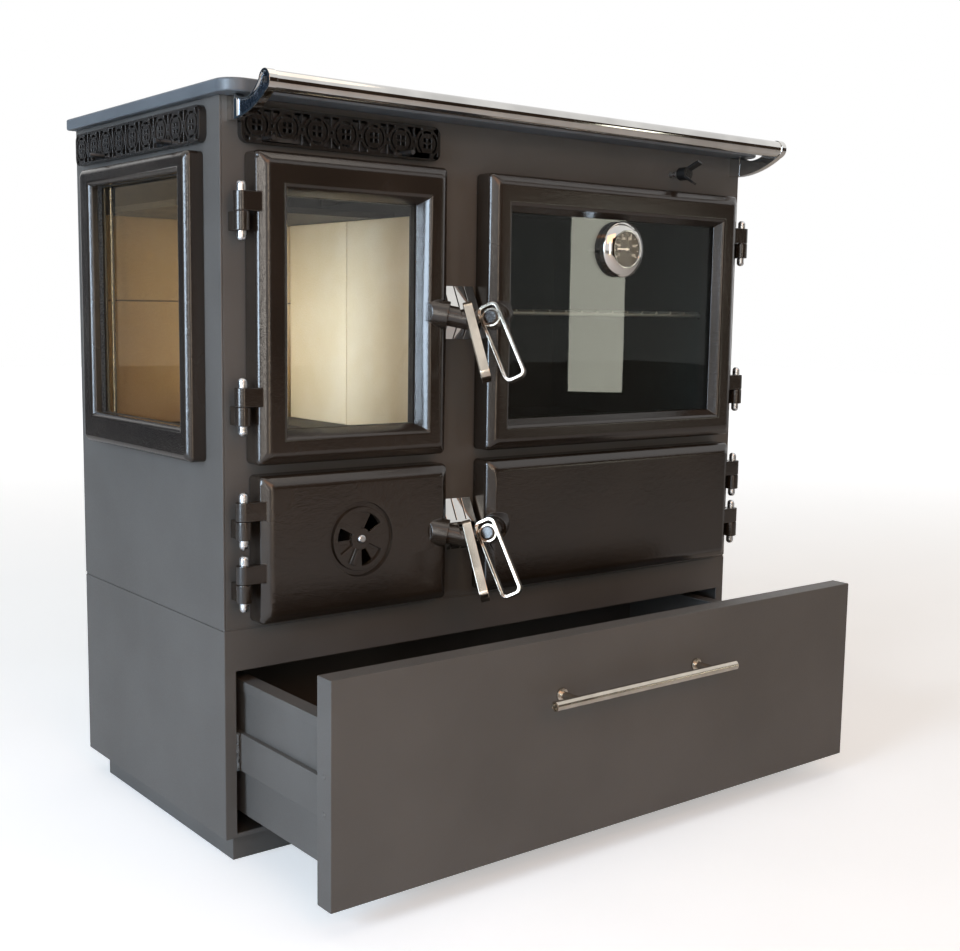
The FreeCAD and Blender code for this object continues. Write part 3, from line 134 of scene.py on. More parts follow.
def lumps(tree, place, size_mm, detail=2.0):
    """Noise whose lumps are about size_mm across."""
    settings = {"Vector": place, "Scale": 1000.0 / size_mm, "Detail": detail}
    return put(tree, "TexNoise", settings).outputs["Fac"]


def blended(tree, amount, low_hex, high_hex, low=0.35, high=0.65):
    """Colour that goes from one hex value to another as amount rises."""
    ramp = put(tree, "ValToRGB", {"Fac": amount})
    for stop, position, code in zip(ramp.color_ramp.elements, (low, high), (low_hex, high_hex)):
        stop.position = position
        stop.color = hex_to_linear(code)
    return ramp.outputs["Color"]


def between(tree, amount, low, high):
    """Number that goes from low to high as amount goes from a third to two thirds."""
    settings = {"Value": amount, "From Min": 0.33, "From Max": 0.67, "To Min": low, "To Max": high}
    return put(tree, "MapRange", settings).outputs["Result"]


def relief(tree, height, depth_mm, under=None):
    """Raises the surface by up to depth_mm, over an earlier relief if there is one."""
    settings = {"Height": height, "Distance": depth_mm * mm, "Strength": 1.0}
    if under is not None:
        settings["Normal"] = under
    return put(tree, "Bump", settings).outputs["Normal"]


def show(tree, surface):
    put(tree, "OutputMaterial", {"Surface": surface})


print("powder grey in linear light", [round(c, 3) for c in hex_to_linear("#4f4c49")[:3]])

# %% [markdown]
# ## Stage
#
# The range stands on a plain pale floor before a white background. The white is only in
# what the camera, mirrors and glass see of the world, so it adds no light to the paint.
# The floor is an ordinary painted board for every ray but the camera's: for the camera it
# also glows a little, more with distance, so that it meets the white sky without a line
# and still keeps the shadow.

# %% World and floor
world = bpy.data.worlds.new("studio")
scene.world = world
world.use_nodes = True
world.node_tree.nodes.clear()
sky = world.node_tree
path = put(sky, "LightPath")
seen = path.outputs["Is Camera Ray"]
for kind in ("Is Glossy Ray", "Is Transmission Ray"):
    seen = put(sky, "Math", {0: seen, 1: path.outputs[kind]}, operation="MAXIMUM").outputs[0]
fill = put(sky, "Background", {"Color": hex_to_linear("#f6f3ee"), "Strength": 0.22})
white = put(sky, "Background", {"Color": (1, 1, 1, 1), "Strength": 1.0})
mix = put(sky, "MixShader", {0: seen, 1: fill.outputs[0], 2: white.outputs[0]})
put(sky, "OutputWorld", {"Surface": mix.outputs[0]})


def stage_sheet(name, half, finish):
    """A square sheet of the stage, flat on the floor."""
    tool = bmesh.new()
    bmesh.ops.create_grid(tool, x_segments=1, y_segments=1, size=half)
    mesh = bpy.data.meshes.new(name)
    tool.to_mesh(mesh)
    tool.free()
    mesh.materials.append(finish)
    sheet = bpy.data.objects.new(name, mesh)
    scene.collection.objects.link(sheet)
    return sheet


floor_paint, tree, place = new_finish("white_floor_paint")
pale = blended(tree, lumps(tree, place, 180.0, 3.0), "#eef1f4", "#f2f5f8")
board = put(tree, "BsdfPrincipled", {"Base Color": pale, "Roughness": 0.7})
away = put(tree, "VectorMath", {0: place}, operation="LENGTH").outputs["Value"]
glow = put(tree, "MapRange", {
    "Value": away, "From Min": 0.9, "From Max": 5.0, "To Min": 0.40, "To Max": 0.85,
})
glow = put(tree, "Emission", {"Color": (1, 1, 1, 1), "Strength": glow.outputs["Result"]})
both = put(tree, "AddShader", {0: board.outputs[0], 1: glow.outputs[0]})
path = put(tree, "LightPath")
lit = put(tree, "MixShader", {0: path.outputs["Is Camera Ray"], 1: board.outputs[0], 2: both.outputs[0]})
show(tree, lit.outputs[0])
studio_floor = stage_sheet("studio_floor", 12.0, floor_paint)
print("floor", studio_floor.dimensions[0], "m square")

# %% [markdown]
# ## Light
#
# Gloss paint and chrome are drawn by what they reflect. Three tall windows, two on the left
# and one in front, put bright lines on every rounded edge and hinge barrel. A small window
# far to the right shows in the oven glass. A soft warm light in front and a soft one above
# carry the plain level, at which a mid grey card looks mid grey. A dark screen stands in
# front on the right. Only mirrors see it, as a photographer's black flag, so the front
# faces keep their deep colour and the rail gets its dark bands. A second, dark blue one
# stands behind on the left, where the side and the rail's bracket look, and a third hangs
# over the left window, so the polished loops are not plain white.

# %% Lamps and flags
def softbox(name, place, target, width, height, watts, code):
    """A rectangular lamp that looks at a point."""
    lamp = bpy.data.lights.new(name, "AREA")
    lamp.shape = "RECTANGLE"
    lamp.size = width
    lamp.size_y = height
    lamp.energy = watts
    lamp.color = hex_to_linear(code)[:3]
    holder = bpy.data.objects.new(name, lamp)
    scene.collection.objects.link(holder)
    holder.location = place
    holder.rotation_euler = (Vector(target) - Vector(place)).to_track_quat("-Z", "Y").to_euler()
    return holder


softbox("left_window", (-3.2, -0.85, 1.05), (-0.4, 0, 0.5), 1.15, 1.9, 116.0, "#cfe5fa")
softbox("corner_window", (-2.3, -2.5, 1.15), (-0.2, -0.2, 0.5), 0.3, 2.1, 14.0, "#fff6ea")
softbox("front_window", (-0.8, -3.5, 0.85), (-0.2, -0.2, 0.5), 0.3, 2.0, 10.0, "#ffe2bd")
softbox("right_window", (2.735, -3.0, 0.69), (0.1, -0.2, 0.66), 0.23, 0.76, 2.2, "#fbfae8")
softbox("front_light", (-0.6, -3.6, 2.5), (0.1, -0.2, 0.45), 2.4, 1.6, 25.0, "#ffa555")
softbox("ceiling_light", (0.0, -0.3, 3.3), (0, 0, 0.5), 2.6, 2.6, 21.0, "#ffe9d0")


def mirror_flag(name, centre, turn, half_width, half_height, low_hex, high_hex):
    """An upright cloth that only mirrors see."""
    dyed, tree, place = new_finish(name + "_cloth")
    cloth = blended(tree, lumps(tree, place, 300.0, 2.0), low_hex, high_hex)
    show(tree, put(tree, "Emission", {"Color": cloth, "Strength": 1.0}).outputs[0])
    flag = stage_sheet(name, 1.0, dyed)
    upright_turn = Matrix.Rotation(math.radians(turn), 4, "Z") @ Matrix.Rotation(math.radians(90), 4, "X")
    stand = Matrix.Translation(centre) @ upright_turn
    flag.data.transform(stand @ Matrix.Diagonal((half_width, half_height, 1.0, 1.0)))
    for kind in ("camera", "diffuse", "transmission", "volume_scatter", "shadow"):
        setattr(flag, "visible_" + kind, False)


mirror_flag("black_flag", (2.75, -3.5, 1.0), 0, 2.9, 1.3, "#2b221b", "#3d3026")
mirror_flag("high_flag", (-3.3, -1.2, 2.75), -70, 1.3, 0.7, "#3c372f", "#5c554a")
mirror_flag("blue_flag", (-2.7, 2.3, 1.1), 50, 1.9, 1.35, "#26323f", "#3c4c5c")
scene.view_settings.view_transform = "Standard"

# %% [markdown]
# ## Powder coat on the sheets
#
# The sheets are powder coated: dry powder is melted on to the steel in an oven. It gives
# a matt anthracite grey with a fine, pebbled skin, the orange peel. The real pebbles are
# about 0.3 mm across, which no pixel can show, so they are drawn 0.9 mm wide, and a
# second, slow waviness of the sheet breaks up the wide reflections.

# %% Powder coat
def powder_coat():
    material, tree, place = new_finish("anthracite_powder_coat")
    cloud = lumps(tree, place, 140.0, 3.0)
    pebbles = lumps(tree, place, 0.9, 1.0)
    colour = blended(tree, cloud, "#4f4c49", "#565350")
    skin = relief(tree, pebbles, 0.035)
    skin = relief(tree, lumps(tree, place, 60.0, 1.0), 0.25, skin)
    shader = put(tree, "BsdfPrincipled", {
        "Base Color": colour, "Roughness": between(tree, pebbles, 0.46, 0.56), "Normal": skin,
    })
    show(tree, shader.outputs[0])
    return material


def plate_coat():
    """The top plate: a bluer coat, and smoother where pans slide over it."""
    material, tree, place = new_finish("rubbed_plate_paint")
    cloud = lumps(tree, place, 90.0, 4.0)
    colour = blended(tree, cloud, "#50555a", "#5b6065")
    skin = relief(tree, lumps(tree, place, 1.4, 2.0), 0.05)
    shader = put(tree, "BsdfPrincipled", {
        "Base Color": colour, "Roughness": between(tree, cloud, 0.38, 0.52), "Normal": skin,
    })
    show(tree, shader.outputs[0])
    return material


print("powder coat for the sheets, and a smoother one for the top plate")

# %% [markdown]
# ## Paint on the castings
#
# The doors, hinges and the window frame are sand castings under a brown-black paint with
# a soft gloss. Sand leaves grains of about 1.5 mm and slow hollows of 5 to 10 mm, and the
# gloss makes both sparkle along the bevels. Two reliefs, one over the other, do that.
# The grilles are finer work, and coarse sand would drown their pattern, so theirs is
# shallower.

# %% Casting paint
def casting_paint(name, low_hex, high_hex, gloss, sand_mm):
    """Gloss is the least roughness, sand_mm how deep the grains of sand are."""
    material, tree, place = new_finish(name)
    cloud = lumps(tree, place, 130.0, 1.0)
    sand = lumps(tree, place, 1.6, 2.0)
    hollows = lumps(tree, place, 7.0, 2.0)
    skin = relief(tree, sand, sand_mm)
    skin = relief(tree, hollows, sand_mm * 1.2, skin)
    shader = put(tree, "BsdfPrincipled", {
        "Base Color": blended(tree, cloud, low_hex, high_hex), "Normal": skin,
        "Roughness": between(tree, cloud, gloss, gloss + 0.04), "Specular IOR Level": 0.6,
    })
    show(tree, shader.outputs[0])
    return material


print("casting paint, with sand and hollows")

# %% [markdown]
# ## Bright metals
#
# Chromium plate mirrors everything and has only faint smears. Stainless bars are
# polished along their length, which leaves fine scratches a few tenths of a millimetre
# apart. Zinc plate is duller, with cloudy patches, and the shutters' sheet steel, the
# nickelled wire of the rack and the drawn rods by the side window are duller still. All
# are full metals: their colour is in the reflection, and roughness tells them apart.

# %% Metals
def metal(name, low_hex, high_hex, cloud_mm, smooth, rough, scratch=None):
    """Scratch is how the pattern is squeezed along each axis, None for no scratches."""
    material, tree, place = new_finish(name)
    cloud = lumps(tree, place, cloud_mm, 3.0)
    settings = {
        "Base Color": blended(tree, cloud, low_hex, high_hex), "Metallic": 1.0,
        "Roughness": between(tree, cloud, smooth, rough),
    }
    if scratch:
        lines = put(tree, "Mapping", {"Vector": place, "Scale": scratch}).outputs["Vector"]
        settings["Normal"] = relief(tree, lumps(tree, lines, 0.7, 1.0), 0.012)
    shader = put(tree, "BsdfPrincipled", settings)
    show(tree, shader.outputs[0])
    return material


print("one recipe for all bright metals")

# %% [markdown]
# ## Fire brick
#
# Fire brick is pressed from pale clay with coarse grit, so it is matt and speckled. A
# painted shade browns it towards the back of the firebox, where less light reaches: a colour
# that multiplies the clay's by depth. A drawn patch would do too, but it would not follow the walls.

# %% Brick
def fire_brick():
    material, tree, place = new_finish("pressed_fire_brick")
    cloud = lumps(tree, place, 55.0, 4.0)
    grit = lumps(tree, place, 1.6, 3.0)
    clay = blended(tree, cloud, "#f6e6c6", "#fdf1da")
    # painted shade: darker and browner towards the back of the firebox, multiplied into the clay
    depth = put(tree, "SeparateXYZ", {"Vector": place}).outputs["Y"]
    depth = put(tree, "MapRange", {"Value": depth, "From Min": -0.10, "From Max": 0.15}).outputs["Result"]
    painted_back_shade = blended(tree, depth, "#ffffff", "#cdbb9f", 0.0, 1.0)
    base = put(
        tree, "MixRGB", {"Fac": 1.0, "Color1": clay, "Color2": painted_back_shade}, blend_type="MULTIPLY").outputs[0]
    grains = blended(tree, grit, "#a5916c", "#fff6e2")
    specks = put(tree, "MixRGB", {"Fac": 0.22, "Color1": base, "Color2": grains})
    skin = relief(tree, grit, 0.25)
    skin = relief(tree, lumps(tree, place, 14.0, 3.0), 0.5, skin)
    shader = put(tree, "BsdfPrincipled", {
        "Base Color": specks.outputs[0], "Roughness": 0.95, "Specular IOR Level": 0.2, "Normal": skin,
    })
    show(tree, shader.outputs[0])
    return material


print("fire brick, browned towards the back")

# %% [markdown]
# ## Enamel, soot, rope and glass
#
# The oven lining is vitreous enamel: dark glass melted on steel, smooth, with tiny specks.
# The seals are plaited glass fibre. The glasses are flat ceramic sheets. Plain glass
# would shut the lamps out of the firebox, because light bent through it is hard to
# find, so a Light Path mix lets the lamps' rays straight through.

# %% Enamel, soot and rope
def oven_enamel():
    material, tree, place = new_finish("speckled_oven_enamel")
    specks = put(tree, "TexVoronoi", {"Vector": place, "Scale": 1000.0 / 4.0}).outputs["Distance"]
    colour = blended(tree, specks, "#8a9092", "#3c403f", 0.06, 0.13)
    skin = relief(tree, lumps(tree, place, 25.0, 2.0), 0.12)
    shader = put(tree, "BsdfPrincipled", {"Base Color": colour, "Roughness": 0.18, "Normal": skin})
    show(tree, shader.outputs[0])
    return material


def sooty_steel(name, low_hex, high_hex, roughness):
    material, tree, place = new_finish(name)
    cloud = lumps(tree, place, 30.0, 5.0)
    skin = relief(tree, lumps(tree, place, 1.2, 2.0), 0.06)
    shader = put(tree, "BsdfPrincipled", {
        "Base Color": blended(tree, cloud, low_hex, high_hex), "Normal": skin,
        "Roughness": between(tree, cloud, roughness, roughness + 0.15),
    })
    show(tree, shader.outputs[0])
    return material


def plaited_rope():
    material, tree, place = new_finish("plaited_glass_rope")
    strands = put(tree, "TexVoronoi", {"Vector": place, "Scale": 1000.0 / 2.2}).outputs["Distance"]
    colour = blended(tree, strands, "#4b4a48", "#1d1c1c", 0.1, 0.7)
    shader = put(tree, "BsdfPrincipled", {
        "Base Color": colour, "Roughness": 0.9, "Normal": relief(tree, strands, 0.5),
    })
    show(tree, shader.outputs[0])
    return material


print("enamel, sooty steel and rope")

# %% Glass and moulded black
def sheet_glass(name, code, lamp_code, ior=1.5):
    """Ceramic glass that lets the lamps' rays through, in a colour of their own."""
    material, tree, place = new_finish(name)
    wave = relief(tree, lumps(tree, place, 90.0, 1.0), 0.02)
    tint = hex_to_linear(code)
    glass = put(tree, "BsdfPrincipled", {
        "Base Color": tint, "Roughness": 0.0, "IOR": ior, "Transmission Weight": 1.0, "Normal": wave,
    })
    clear = put(tree, "BsdfTransparent", {"Color": hex_to_linear(lamp_code)})
    path = put(tree, "LightPath")
    lamp_ray = path.outputs["Is Shadow Ray"]
    mixed = put(tree, "MixShader", {0: lamp_ray, 1: glass.outputs[0], 2: clear.outputs[0]})
    show(tree, mixed.outputs[0])
    return material


def moulded_black():
    material, tree, place = new_finish("moulded_knob_black")
    grain = lumps(tree, place, 0.8, 1.0)
    shader = put(tree, "BsdfPrincipled", {
        "Base Color": blended(tree, grain, "#0d0d0d", "#151414"), "Roughness": 0.42,
        "Normal": relief(tree, grain, 0.02),
    })
    show(tree, shader.outputs[0])
    return material


print("glass and knob plastic")

# %% [markdown]
# ## Each piece gets its finish
#
# The record gives every piece a slot, so most finishes are handed out by slot. A few
# pieces share a slot but not a look, such as the side window's glass with painted shade,
# the nickelled oven rack and the coated drawer slides, and these are named one by one.

# %% Finishes on the pieces
finishes = {
    "body_coat": powder_coat(),
    "grille_coat": casting_paint("openwork_casting_paint", "#1b1816", "#24201d", 0.24, 0.03),
    "door_enamel": casting_paint("brown_black_casting_paint", "#231d18", "#2b241e", 0.15, 0.12),
    "knob_black": moulded_black(),
    "chrome_plate": metal("polished_chromium", "#c2c0bd", "#d6d4d0", 60.0, 0.04, 0.09),
    "stainless": metal("polished_stainless", "#b5aca0", "#cbc2b5", 25.0, 0.14, 0.24, (1, 1, 0.08)),
    "zinc_plate": metal("zinc_plate", "#b4b6b8", "#d2d4d6", 6.0, 0.22, 0.36),
    "shutter_steel": metal("shutter_sheet_steel", "#67686a", "#808082", 18.0, 0.25, 0.4, (0.1, 0.1, 1)),
    "fire_glass_clear": sheet_glass("clear_fire_glass", "#fbfaf6", "#ffffff"),
    "oven_glass_dark": sheet_glass("smoked_oven_glass", "#a3a8a5", "#f0f2f1"),
    "inner_steel": sooty_steel("heat_proof_black_steel", "#1b1a1a", "#2a2827", 0.55),
    "oven_enamel": oven_enamel(),
    "raw_casting": sooty_steel("blackened_casting", "#2a2929", "#393736", 0.5),
    "fire_brick": fire_brick(),
    "rope_seal": plaited_rope(),
    "needle_paint": sooty_steel("pointer_paint", "#cfc8b8", "#e2dccd", 0.35),
}
special = {
    "hob_plate": plate_coat(),
    # the side glass's amber tint colours only what is seen through it, not the lamps' rays: painted shade
    # on the firebox behind it
    "window_glass": sheet_glass("amber_painted_shade_side_glass", "#d4c09f", "#ffffff"),
    "drawer_slides": finishes["body_coat"],
    "oven_rack": metal("matt_nickel_wire", "#f0ece2", "#f8f5ee", 20.0, 0.5, 0.6),
    "window_rods": metal("drawn_steel_rod", "#77787a", "#8d8e90", 40.0, 0.2, 0.3),
}
for node, thing in frame["nodes"].items():
    finish = special.get(node, finishes[slot_of[node]])
    if not thing.material_slots:
        thing.data.materials.append(finish)
    for slot in thing.material_slots:
        slot.material = finish
print(len(finishes) + len(special), "finishes on", len(frame["nodes"]), "pieces")

# %% [markdown]
# ## Rounded edges
#
# No real edge is perfectly sharp: powder runs round a folded corner, and a casting
# leaves its mould with soft arrises. Those thin rounds are what draws an edge in light.
# The pieces of the frame have knife edges, so each is copied, its loose triangles are
# merged back into faces, and every edge with a real angle gets a narrow bevel. The
# original stays hidden underneath for the motion tests.

# %% Helpers for pieces
side_mm, corner_mm = 60, 6      # a long side is longer, a corner arc's edge shorter


def settle(name, tool, finish, body, nodes=(), sharp=38.0):
    """Turns mesh code into a piece that rides on a body, and stands for its nodes."""
    limit = math.radians(sharp)
    for face in tool.faces:
        face.smooth = True
    for edge in tool.edges:
        edge.smooth = not (edge.is_manifold and edge.calc_face_angle(0.0) > limit)
    mesh = bpy.data.meshes.new(name)
    tool.to_mesh(mesh)
    tool.free()
    mesh.materials.append(finish)
    piece = bpy.data.objects.new(name, mesh)
    scene.collection.objects.link(piece)
    even = piece.modifiers.new("even_normals", "WEIGHTED_NORMAL")
    even.keep_sharp = True
    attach(piece, body)
    if nodes:
        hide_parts(*nodes)
    return piece


def merged_copy(node):
    """The node's triangles as joined faces, in a new bmesh."""
    tool = bmesh.new()
    tool.from_mesh(frame["nodes"][node].data)
    bmesh.ops.remove_doubles(tool, verts=tool.verts, dist=0.01 * mm)
    bmesh.ops.dissolve_limit(
        tool, angle_limit=math.radians(0.6), verts=tool.verts, edges=tool.edges,
        use_dissolve_boundaries=False, delimit={"NORMAL"},
    )
    return tool


def bevel_edges(tool, edges, width_mm, segments):
    bmesh.ops.bevel(
        tool, geom=edges, offset=width_mm * mm, offset_type="OFFSET", segments=segments,
        profile=0.5, affect="EDGES", clamp_overlap=False, material=-1,
    )


def round_edges(tool, width_mm, angle=30.0):
    """Rounds every edge that turns by more than angle degrees, and counts them."""
    limit = math.radians(angle)
    edges = [edge for edge in tool.edges if edge.is_manifold and edge.calc_face_angle(0.0) > limit]
    bevel_edges(tool, edges, width_mm, 2)
    return len(edges)


def round_outline(tool, axis, levels, width_mm):
    """Rounds the long edges of a casting's bevels, which lie in planes across one axis."""
    def flat_edge(edge):
        ends = [vert.co[axis] for vert in edge.verts]
        in_plane = any(max(abs(end - level) for end in ends) < 0.02 * mm for level in levels)
        turned_out = edge.is_manifold and edge.is_convex
        return in_plane and turned_out and edge.calc_face_angle(0.0) > math.radians(20)

    chain = {edge for edge in tool.edges if flat_edge(edge) and edge.calc_length() > side_mm * mm}
    grown = True
    while grown:
        touched = {vert for edge in chain for vert in edge.verts}
        more = {
            edge for vert in touched for edge in vert.link_edges
            if edge not in chain and flat_edge(edge) and edge.calc_length() < corner_mm * mm
        }
        grown = bool(more)
        chain |= more
    bevel_edges(tool, list(chain), width_mm, 5)


def soften(node, width_mm):
    """A copy of a node with rounded edges takes the node's place."""
    tool = merged_copy(node)
    if node in outline_planes:
        round_outline(tool, *outline_planes[node])
    count = round_edges(tool, width_mm)
    finish = frame["nodes"][node].material_slots[0].material
    settle(node + "_soft", tool, finish, body_of[node], [node])
    return count


# %% [markdown]
# The door castings and the window frame have wide, soft arrises along both edges of their
# bevels. These are found by the plane that they lie in, and rounded first.

# %% Sheets, castings and bars
along_x, along_y = 0, 1
door_outline = (along_y, (-0.238, -0.230), 4.0)     # axis, planes of the bevel, round in mm
window_outline = (along_x, (-0.4435, -0.4380), 3.0)
outline_planes = {node: door_outline for node in ("fire_door", "oven_door", "ash_door", "store_door")}
outline_planes["window_frame"] = window_outline
edge_width_mm = {
    "plinth": 0.8, "base_casing": 1.2, "body_floor": 0.4, "front_plate": 0.8, "side_panel_left": 0.8,
    "side_panel_right": 0.8, "back_panel": 0.8, "drawer_front": 1.2, "drawer_box": 0.5, "hob_plate": 0.4,
    "fire_door": 0.8, "oven_door": 0.8, "ash_door": 0.8, "store_door": 0.8, "window_frame": 0.8,
    "fixed_knuckles": 1.2, "air_rosette": 0.5, "front_grille": 0.4, "side_grille": 0.4,
    "door_catches": 0.5, "fire_handle": 0.8, "oven_handle": 0.8, "ash_handle": 0.8, "store_handle": 0.8,
    "damper_knob": 0.6, "fire_bricks": 2.0, "oven_box": 0.8, "hob_lid": 0.8, "fire_grate": 1.0,
    "ash_pan": 0.4, "ash_chamber": 0.6, "fire_baffle": 0.8, "flue_spigot": 0.6, "drawer_slides": 0.8,
    "drawer_runners": 0.8, "fire_partition": 0.6, "drawer_handle": 0.5,
}
for node, width in edge_width_mm.items():
    print(node, soften(node, width), "edges rounded")

# %% [markdown]
# ## Rail brackets
#
# Each bracket is a chromed casting: a foot on the body and a crescent arm that ends in a
# disc round the rail. The arm's outer face is hollowed, which leaves a raised rim all
# round it and saves metal. The hollow could be cut with a boolean, but on a flat face an
# inset is shorter and cleaner: the face is split off from the foot with a bisect, then
# inset by the rim's width and sunk. The hollow has a finish of its own, darker, bluer and
# lumpy, with painted shade and a painted blue reflection. A socket screw holds the rail.

# %% Bracket hollows
rim_mm, hollow_mm = 2.4, 1.8
rim_round_mm, hollow_wall_mm = 0.5, 0.7
bracket_side = 0.411
foot_edge_y = -0.2235
rail_axis = (-0.285, 0.8735)

# painted shade and painted blue reflection: the hollow's metal colour is darker and bluer than the chrome
hollow_shade_and_reflection, tree, place = new_finish("bracket_hollow_painted_shade_reflection")
skin_lumps = lumps(tree, place, 3.5, 3.0)
shader = put(tree, "BsdfPrincipled", {
    "Base Color": blended(tree, lumps(tree, place, 14.0, 2.0), "#66707c", "#8b93a0"), "Metallic": 1.0,
    "Roughness": between(tree, skin_lumps, 0.16, 0.3), "Normal": relief(tree, skin_lumps, 0.3),
})
show(tree, shader.outputs[0])


def outer_faces(tool, side):
    """The bracket's flat faces on its outside, left for -1 and right for 1."""
    return [
        face for face in tool.faces if face.normal.x * side > 0.99
        and abs(face.calc_center_median().x - side * bracket_side) < mm
    ]


tool = merged_copy("rail_brackets")
for side in (-1, 1):
    outer = outer_faces(tool, side)
    geom = set(outer) | {e for f in outer for e in f.edges} | {v for f in outer for v in f.verts}
    bmesh.ops.bisect_plane(
        tool, geom=list(geom), dist=0.001 * mm, plane_co=(0, foot_edge_y, 0), plane_no=(0, 1, 0))
round_edges(tool, rim_round_mm, 34.0)
hollows = []
for side in (-1, 1):
    in_arm = [face for face in outer_faces(tool, side) if face.calc_center_median().y < foot_edge_y]
    arm = max(in_arm, key=lambda face: face.calc_area())
    for wide_mm, deep_mm in ((rim_mm - rim_round_mm, 0), (hollow_wall_mm, hollow_mm)):
        bmesh.ops.inset_region(
            tool, faces=[arm], thickness=wide_mm * mm, depth=-deep_mm * mm, use_even_offset=True)
    arm.material_index = 1
    hollows.append(round(arm.calc_area() * 1e6))
chrome = finishes["chrome_plate"]
bracket_body, bracket_slot = body_of["rail_brackets"], slot_of["rail_brackets"]
brackets = settle("rail_brackets_hollowed", tool, chrome, bracket_body, ["rail_brackets"])
brackets.data.materials.append(hollow_shade_and_reflection)
print("bracket hollows", hollows, "mm2")

# %% [markdown]
# A small socket head screw sits in each hollow, on the rail's axis. The head is a cone with
# a slight taper, and two insets of its top make the round key hole.

# %% Socket screws
def socket_screw(centre, side, radius, height, key):
    """A cheese head with a key hole. Its underside is at centre, its axis along x."""
    head = bmesh.new()
    top_radius = radius * 0.93
    bmesh.ops.create_cone(
        head, cap_ends=True, segments=36, radius1=radius, radius2=top_radius, depth=height)
    top = max(head.faces, key=lambda face: face.calc_center_median().z)
    bmesh.ops.inset_region(head, faces=[top], thickness=top_radius - key, depth=0)
    bmesh.ops.inset_region(head, faces=[top], thickness=0.05 * mm, depth=-height * 0.8)
    bmesh.ops.translate(head, vec=(0, 0, height / 2), verts=head.verts)
    tip = Matrix.Rotation(math.radians(90 * side), 3, "Y")
    bmesh.ops.rotate(head, cent=(0, 0, 0), matrix=tip, verts=head.verts)
    bmesh.ops.translate(head, vec=centre, verts=head.verts)
    mesh = bpy.data.meshes.new("socket_screw")
    head.to_mesh(mesh)
    head.free()
    return mesh


tool = bmesh.new()
for side in (-1, 1):
    seat = (side * (bracket_side - hollow_mm * mm), *rail_axis)
    tool.from_mesh(socket_screw(seat, side, 3.4 * mm, 2.4 * mm, 1.7 * mm))
screws = settle("rail_screws", tool, finishes["raw_casting"], body_of["handrail"])
print("rail screws", len(screws.data.polygons), "faces")

# %% [markdown]
# ## Thermometer
#
# The oven thermometer is a pressed steel cup with a heavy turned bezel, crowned towards
# its rim, a printed dial sunk in it, a hand and a flat cover glass. Everything round on it
# is a turned profile, so each is drawn as half a section and spun once round the axis. The
# marks and figures of the dial are geometry too, thin strips and text turned into mesh.
# The cover glass has an anti-glare film, so its index is low and it hardly reflects.

# %% Bezel, dial and cover glass
gauge_x, gauge_glass_y, gauge_z = 0.15975, -0.225, 0.726


def turned(profile_mm, segments=72):
    """Spins (radius, forward) points, which start and end on the gauge's axis, round it."""
    tool = bmesh.new()
    centre = Vector((gauge_x, gauge_glass_y, gauge_z))
    verts = [tool.verts.new(centre + Vector((r, -out, 0)) * mm) for r, out in profile_mm]
    edges = [tool.edges.new(pair) for pair in zip(verts, verts[1:])]
    bmesh.ops.spin(
        tool, geom=verts + edges, cent=centre, axis=(0, 1, 0), angle=math.tau,
        steps=segments, use_merge=True, use_duplicate=False)
    bmesh.ops.remove_doubles(tool, verts=tool.verts, dist=0.005 * mm)
    bmesh.ops.recalc_face_normals(tool, faces=tool.faces)
    return tool


case_body, case_slot = body_of["thermometer_case"], slot_of["thermometer_case"]
bezel = turned([
    (0.0, 0.0), (37.0, 0.0), (37.0, 8.4), (36.5, 9.2), (35.2, 10.4), (32.8, 12.2), (29.8, 14.1),
    (27.0, 15.4), (25.4, 15.95), (24.4, 16.1), (23.6, 15.95), (23.1, 15.5), (23.0, 13.4), (0.0, 13.4),
])
settle("thermometer_bezel", bezel, chrome, case_body, ["thermometer_case"], sharp=30.0)
stem = turned([(0.0, -60.0), (3.2, -60.0), (4.0, -59.0), (4.0, 0.0), (0.0, 0.0)], 32)
settle("thermometer_stem", stem, chrome, case_body)

dial_paint, tree, place = new_finish("printed_dial_paint")
dial_grain = lumps(tree, place, 9.0, 3.0)
shader = put(tree, "BsdfPrincipled", {
    "Base Color": blended(tree, dial_grain, "#38332a", "#454034"),
    "Roughness": between(tree, dial_grain, 0.45, 0.6),
})
show(tree, shader.outputs[0])
dial = turned([(0.0, 13.4), (22.9, 13.4), (22.9, 13.9), (0.0, 13.9)], 64)
settle("thermometer_dial", dial, dial_paint, case_body)
cover = turned([(0.0, 15.2), (22.9, 15.2), (22.9, 15.6), (0.0, 15.6)], 64)
cover_glass = sheet_glass("anti_glare_cover_glass", "#fdfdfb", "#ffffff", 1.12)
settle("thermometer_cover", cover, cover_glass, case_body)
print("bezel, stem, dial and cover glass turned")

# %% [markdown]
# The dial has eleven marks, every other one longer and with a plain figure beside it. They
# stand a hair proud of the dial, so that they don't flicker with its face.

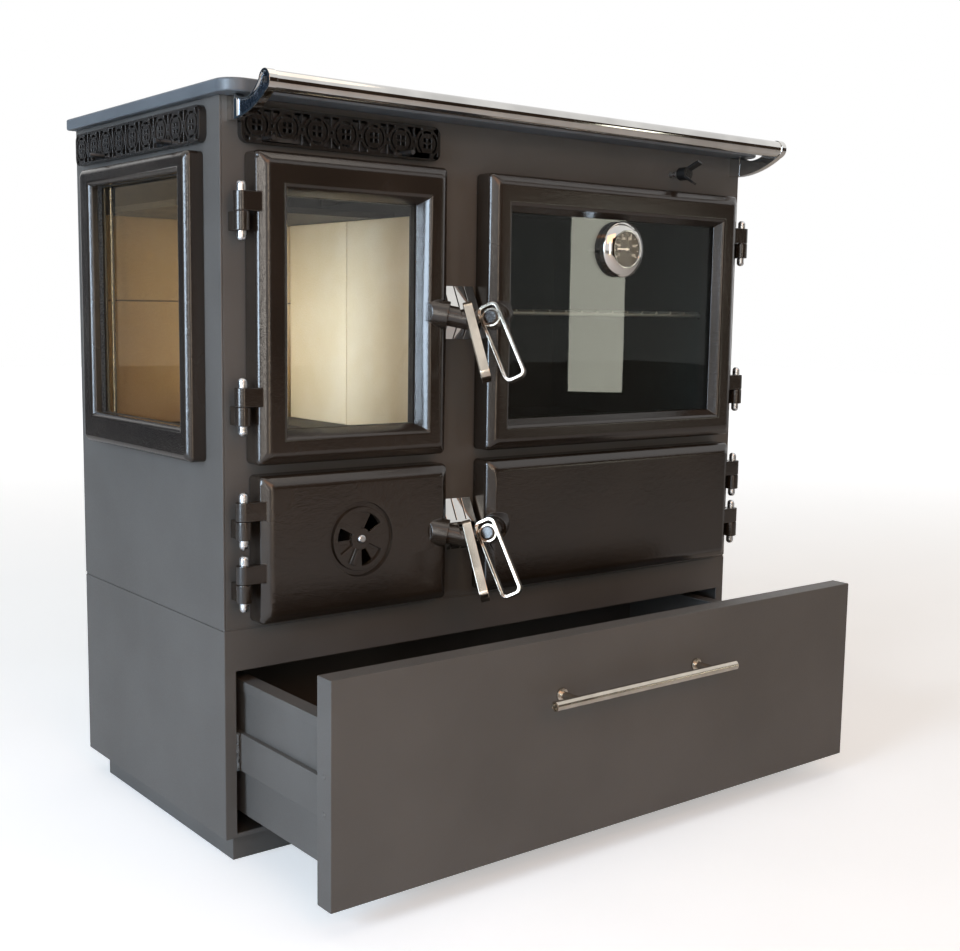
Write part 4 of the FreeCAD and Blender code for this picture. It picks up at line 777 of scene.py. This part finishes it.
# %% Marks and figures of the dial
ink_y = gauge_glass_y - 13.95 * mm
marks_end_mm, figures_at = 21.8, 15.2 * mm
tool = bmesh.new()
turn_of_mark = [math.radians(210 - 24 * step) for step in range(11)]
for step, turn in enumerate(turn_of_mark):
    long_mark = 3.4 if step % 2 == 0 else 2.0
    made = bmesh.ops.create_cube(tool, size=1.0)["verts"]
    bmesh.ops.scale(tool, vec=(long_mark * mm, 0.1 * mm, 0.8 * mm), verts=made)
    bmesh.ops.translate(tool, vec=((marks_end_mm - long_mark / 2) * mm, 0, 0), verts=made)
    bmesh.ops.rotate(tool, cent=(0, 0, 0), matrix=Matrix.Rotation(-turn, 3, "Y"), verts=made)
    bmesh.ops.translate(tool, vec=(gauge_x, ink_y, gauge_z), verts=made)
for step in range(0, 11, 2):
    turn = turn_of_mark[step]
    figure = bpy.data.curves.new("dial_figure", "FONT")
    figure.body = str(50 * step)
    figure.size = 5.0 * mm
    figure.align_x, figure.align_y = "CENTER", "CENTER"
    holder = bpy.data.objects.new("dial_figure", figure)
    scene.collection.objects.link(holder)
    flat = bpy.data.meshes.new_from_object(holder.evaluated_get(bpy.context.evaluated_depsgraph_get()))
    bpy.data.objects.remove(holder)
    aside, above = figures_at * math.cos(turn), figures_at * math.sin(turn)
    spot = Matrix.Translation((gauge_x + aside, ink_y, gauge_z + above))
    flat.transform(spot @ Matrix.Rotation(math.radians(90), 4, "X"))
    tool.from_mesh(flat)
settle("thermometer_marks", tool, finishes["needle_paint"], case_body)
print("dial marks and figures 0 to 500")

# %% [markdown]
# ## Small fasteners
#
# The drawer's front is a folded sheet, held to its box by two rivets through each side
# flange. A rivet head is a shallow dome, made from a sphere that is flattened along the
# rivet's axis. Half of it is sunk in the flange.

# %% Rivets of the drawer front
flange_x, rivet_y, rivet_heights = 0.42, -0.417, (0.1705, 0.1315)
tool = bmesh.new()
for side in (-1, 1):
    for height in rivet_heights:
        made = bmesh.ops.create_uvsphere(tool, u_segments=20, v_segments=12, radius=3.0 * mm)["verts"]
        bmesh.ops.scale(tool, vec=(0.36, 1, 1), verts=made)
        bmesh.ops.translate(tool, vec=(side * flange_x, rivet_y, height), verts=made)
front_body, front_slot = body_of["drawer_front"], slot_of["drawer_front"]
rivets = settle("drawer_rivets", tool, finishes["body_coat"], front_body)
print("drawer rivets", len(rivets.data.vertices), "vertices")
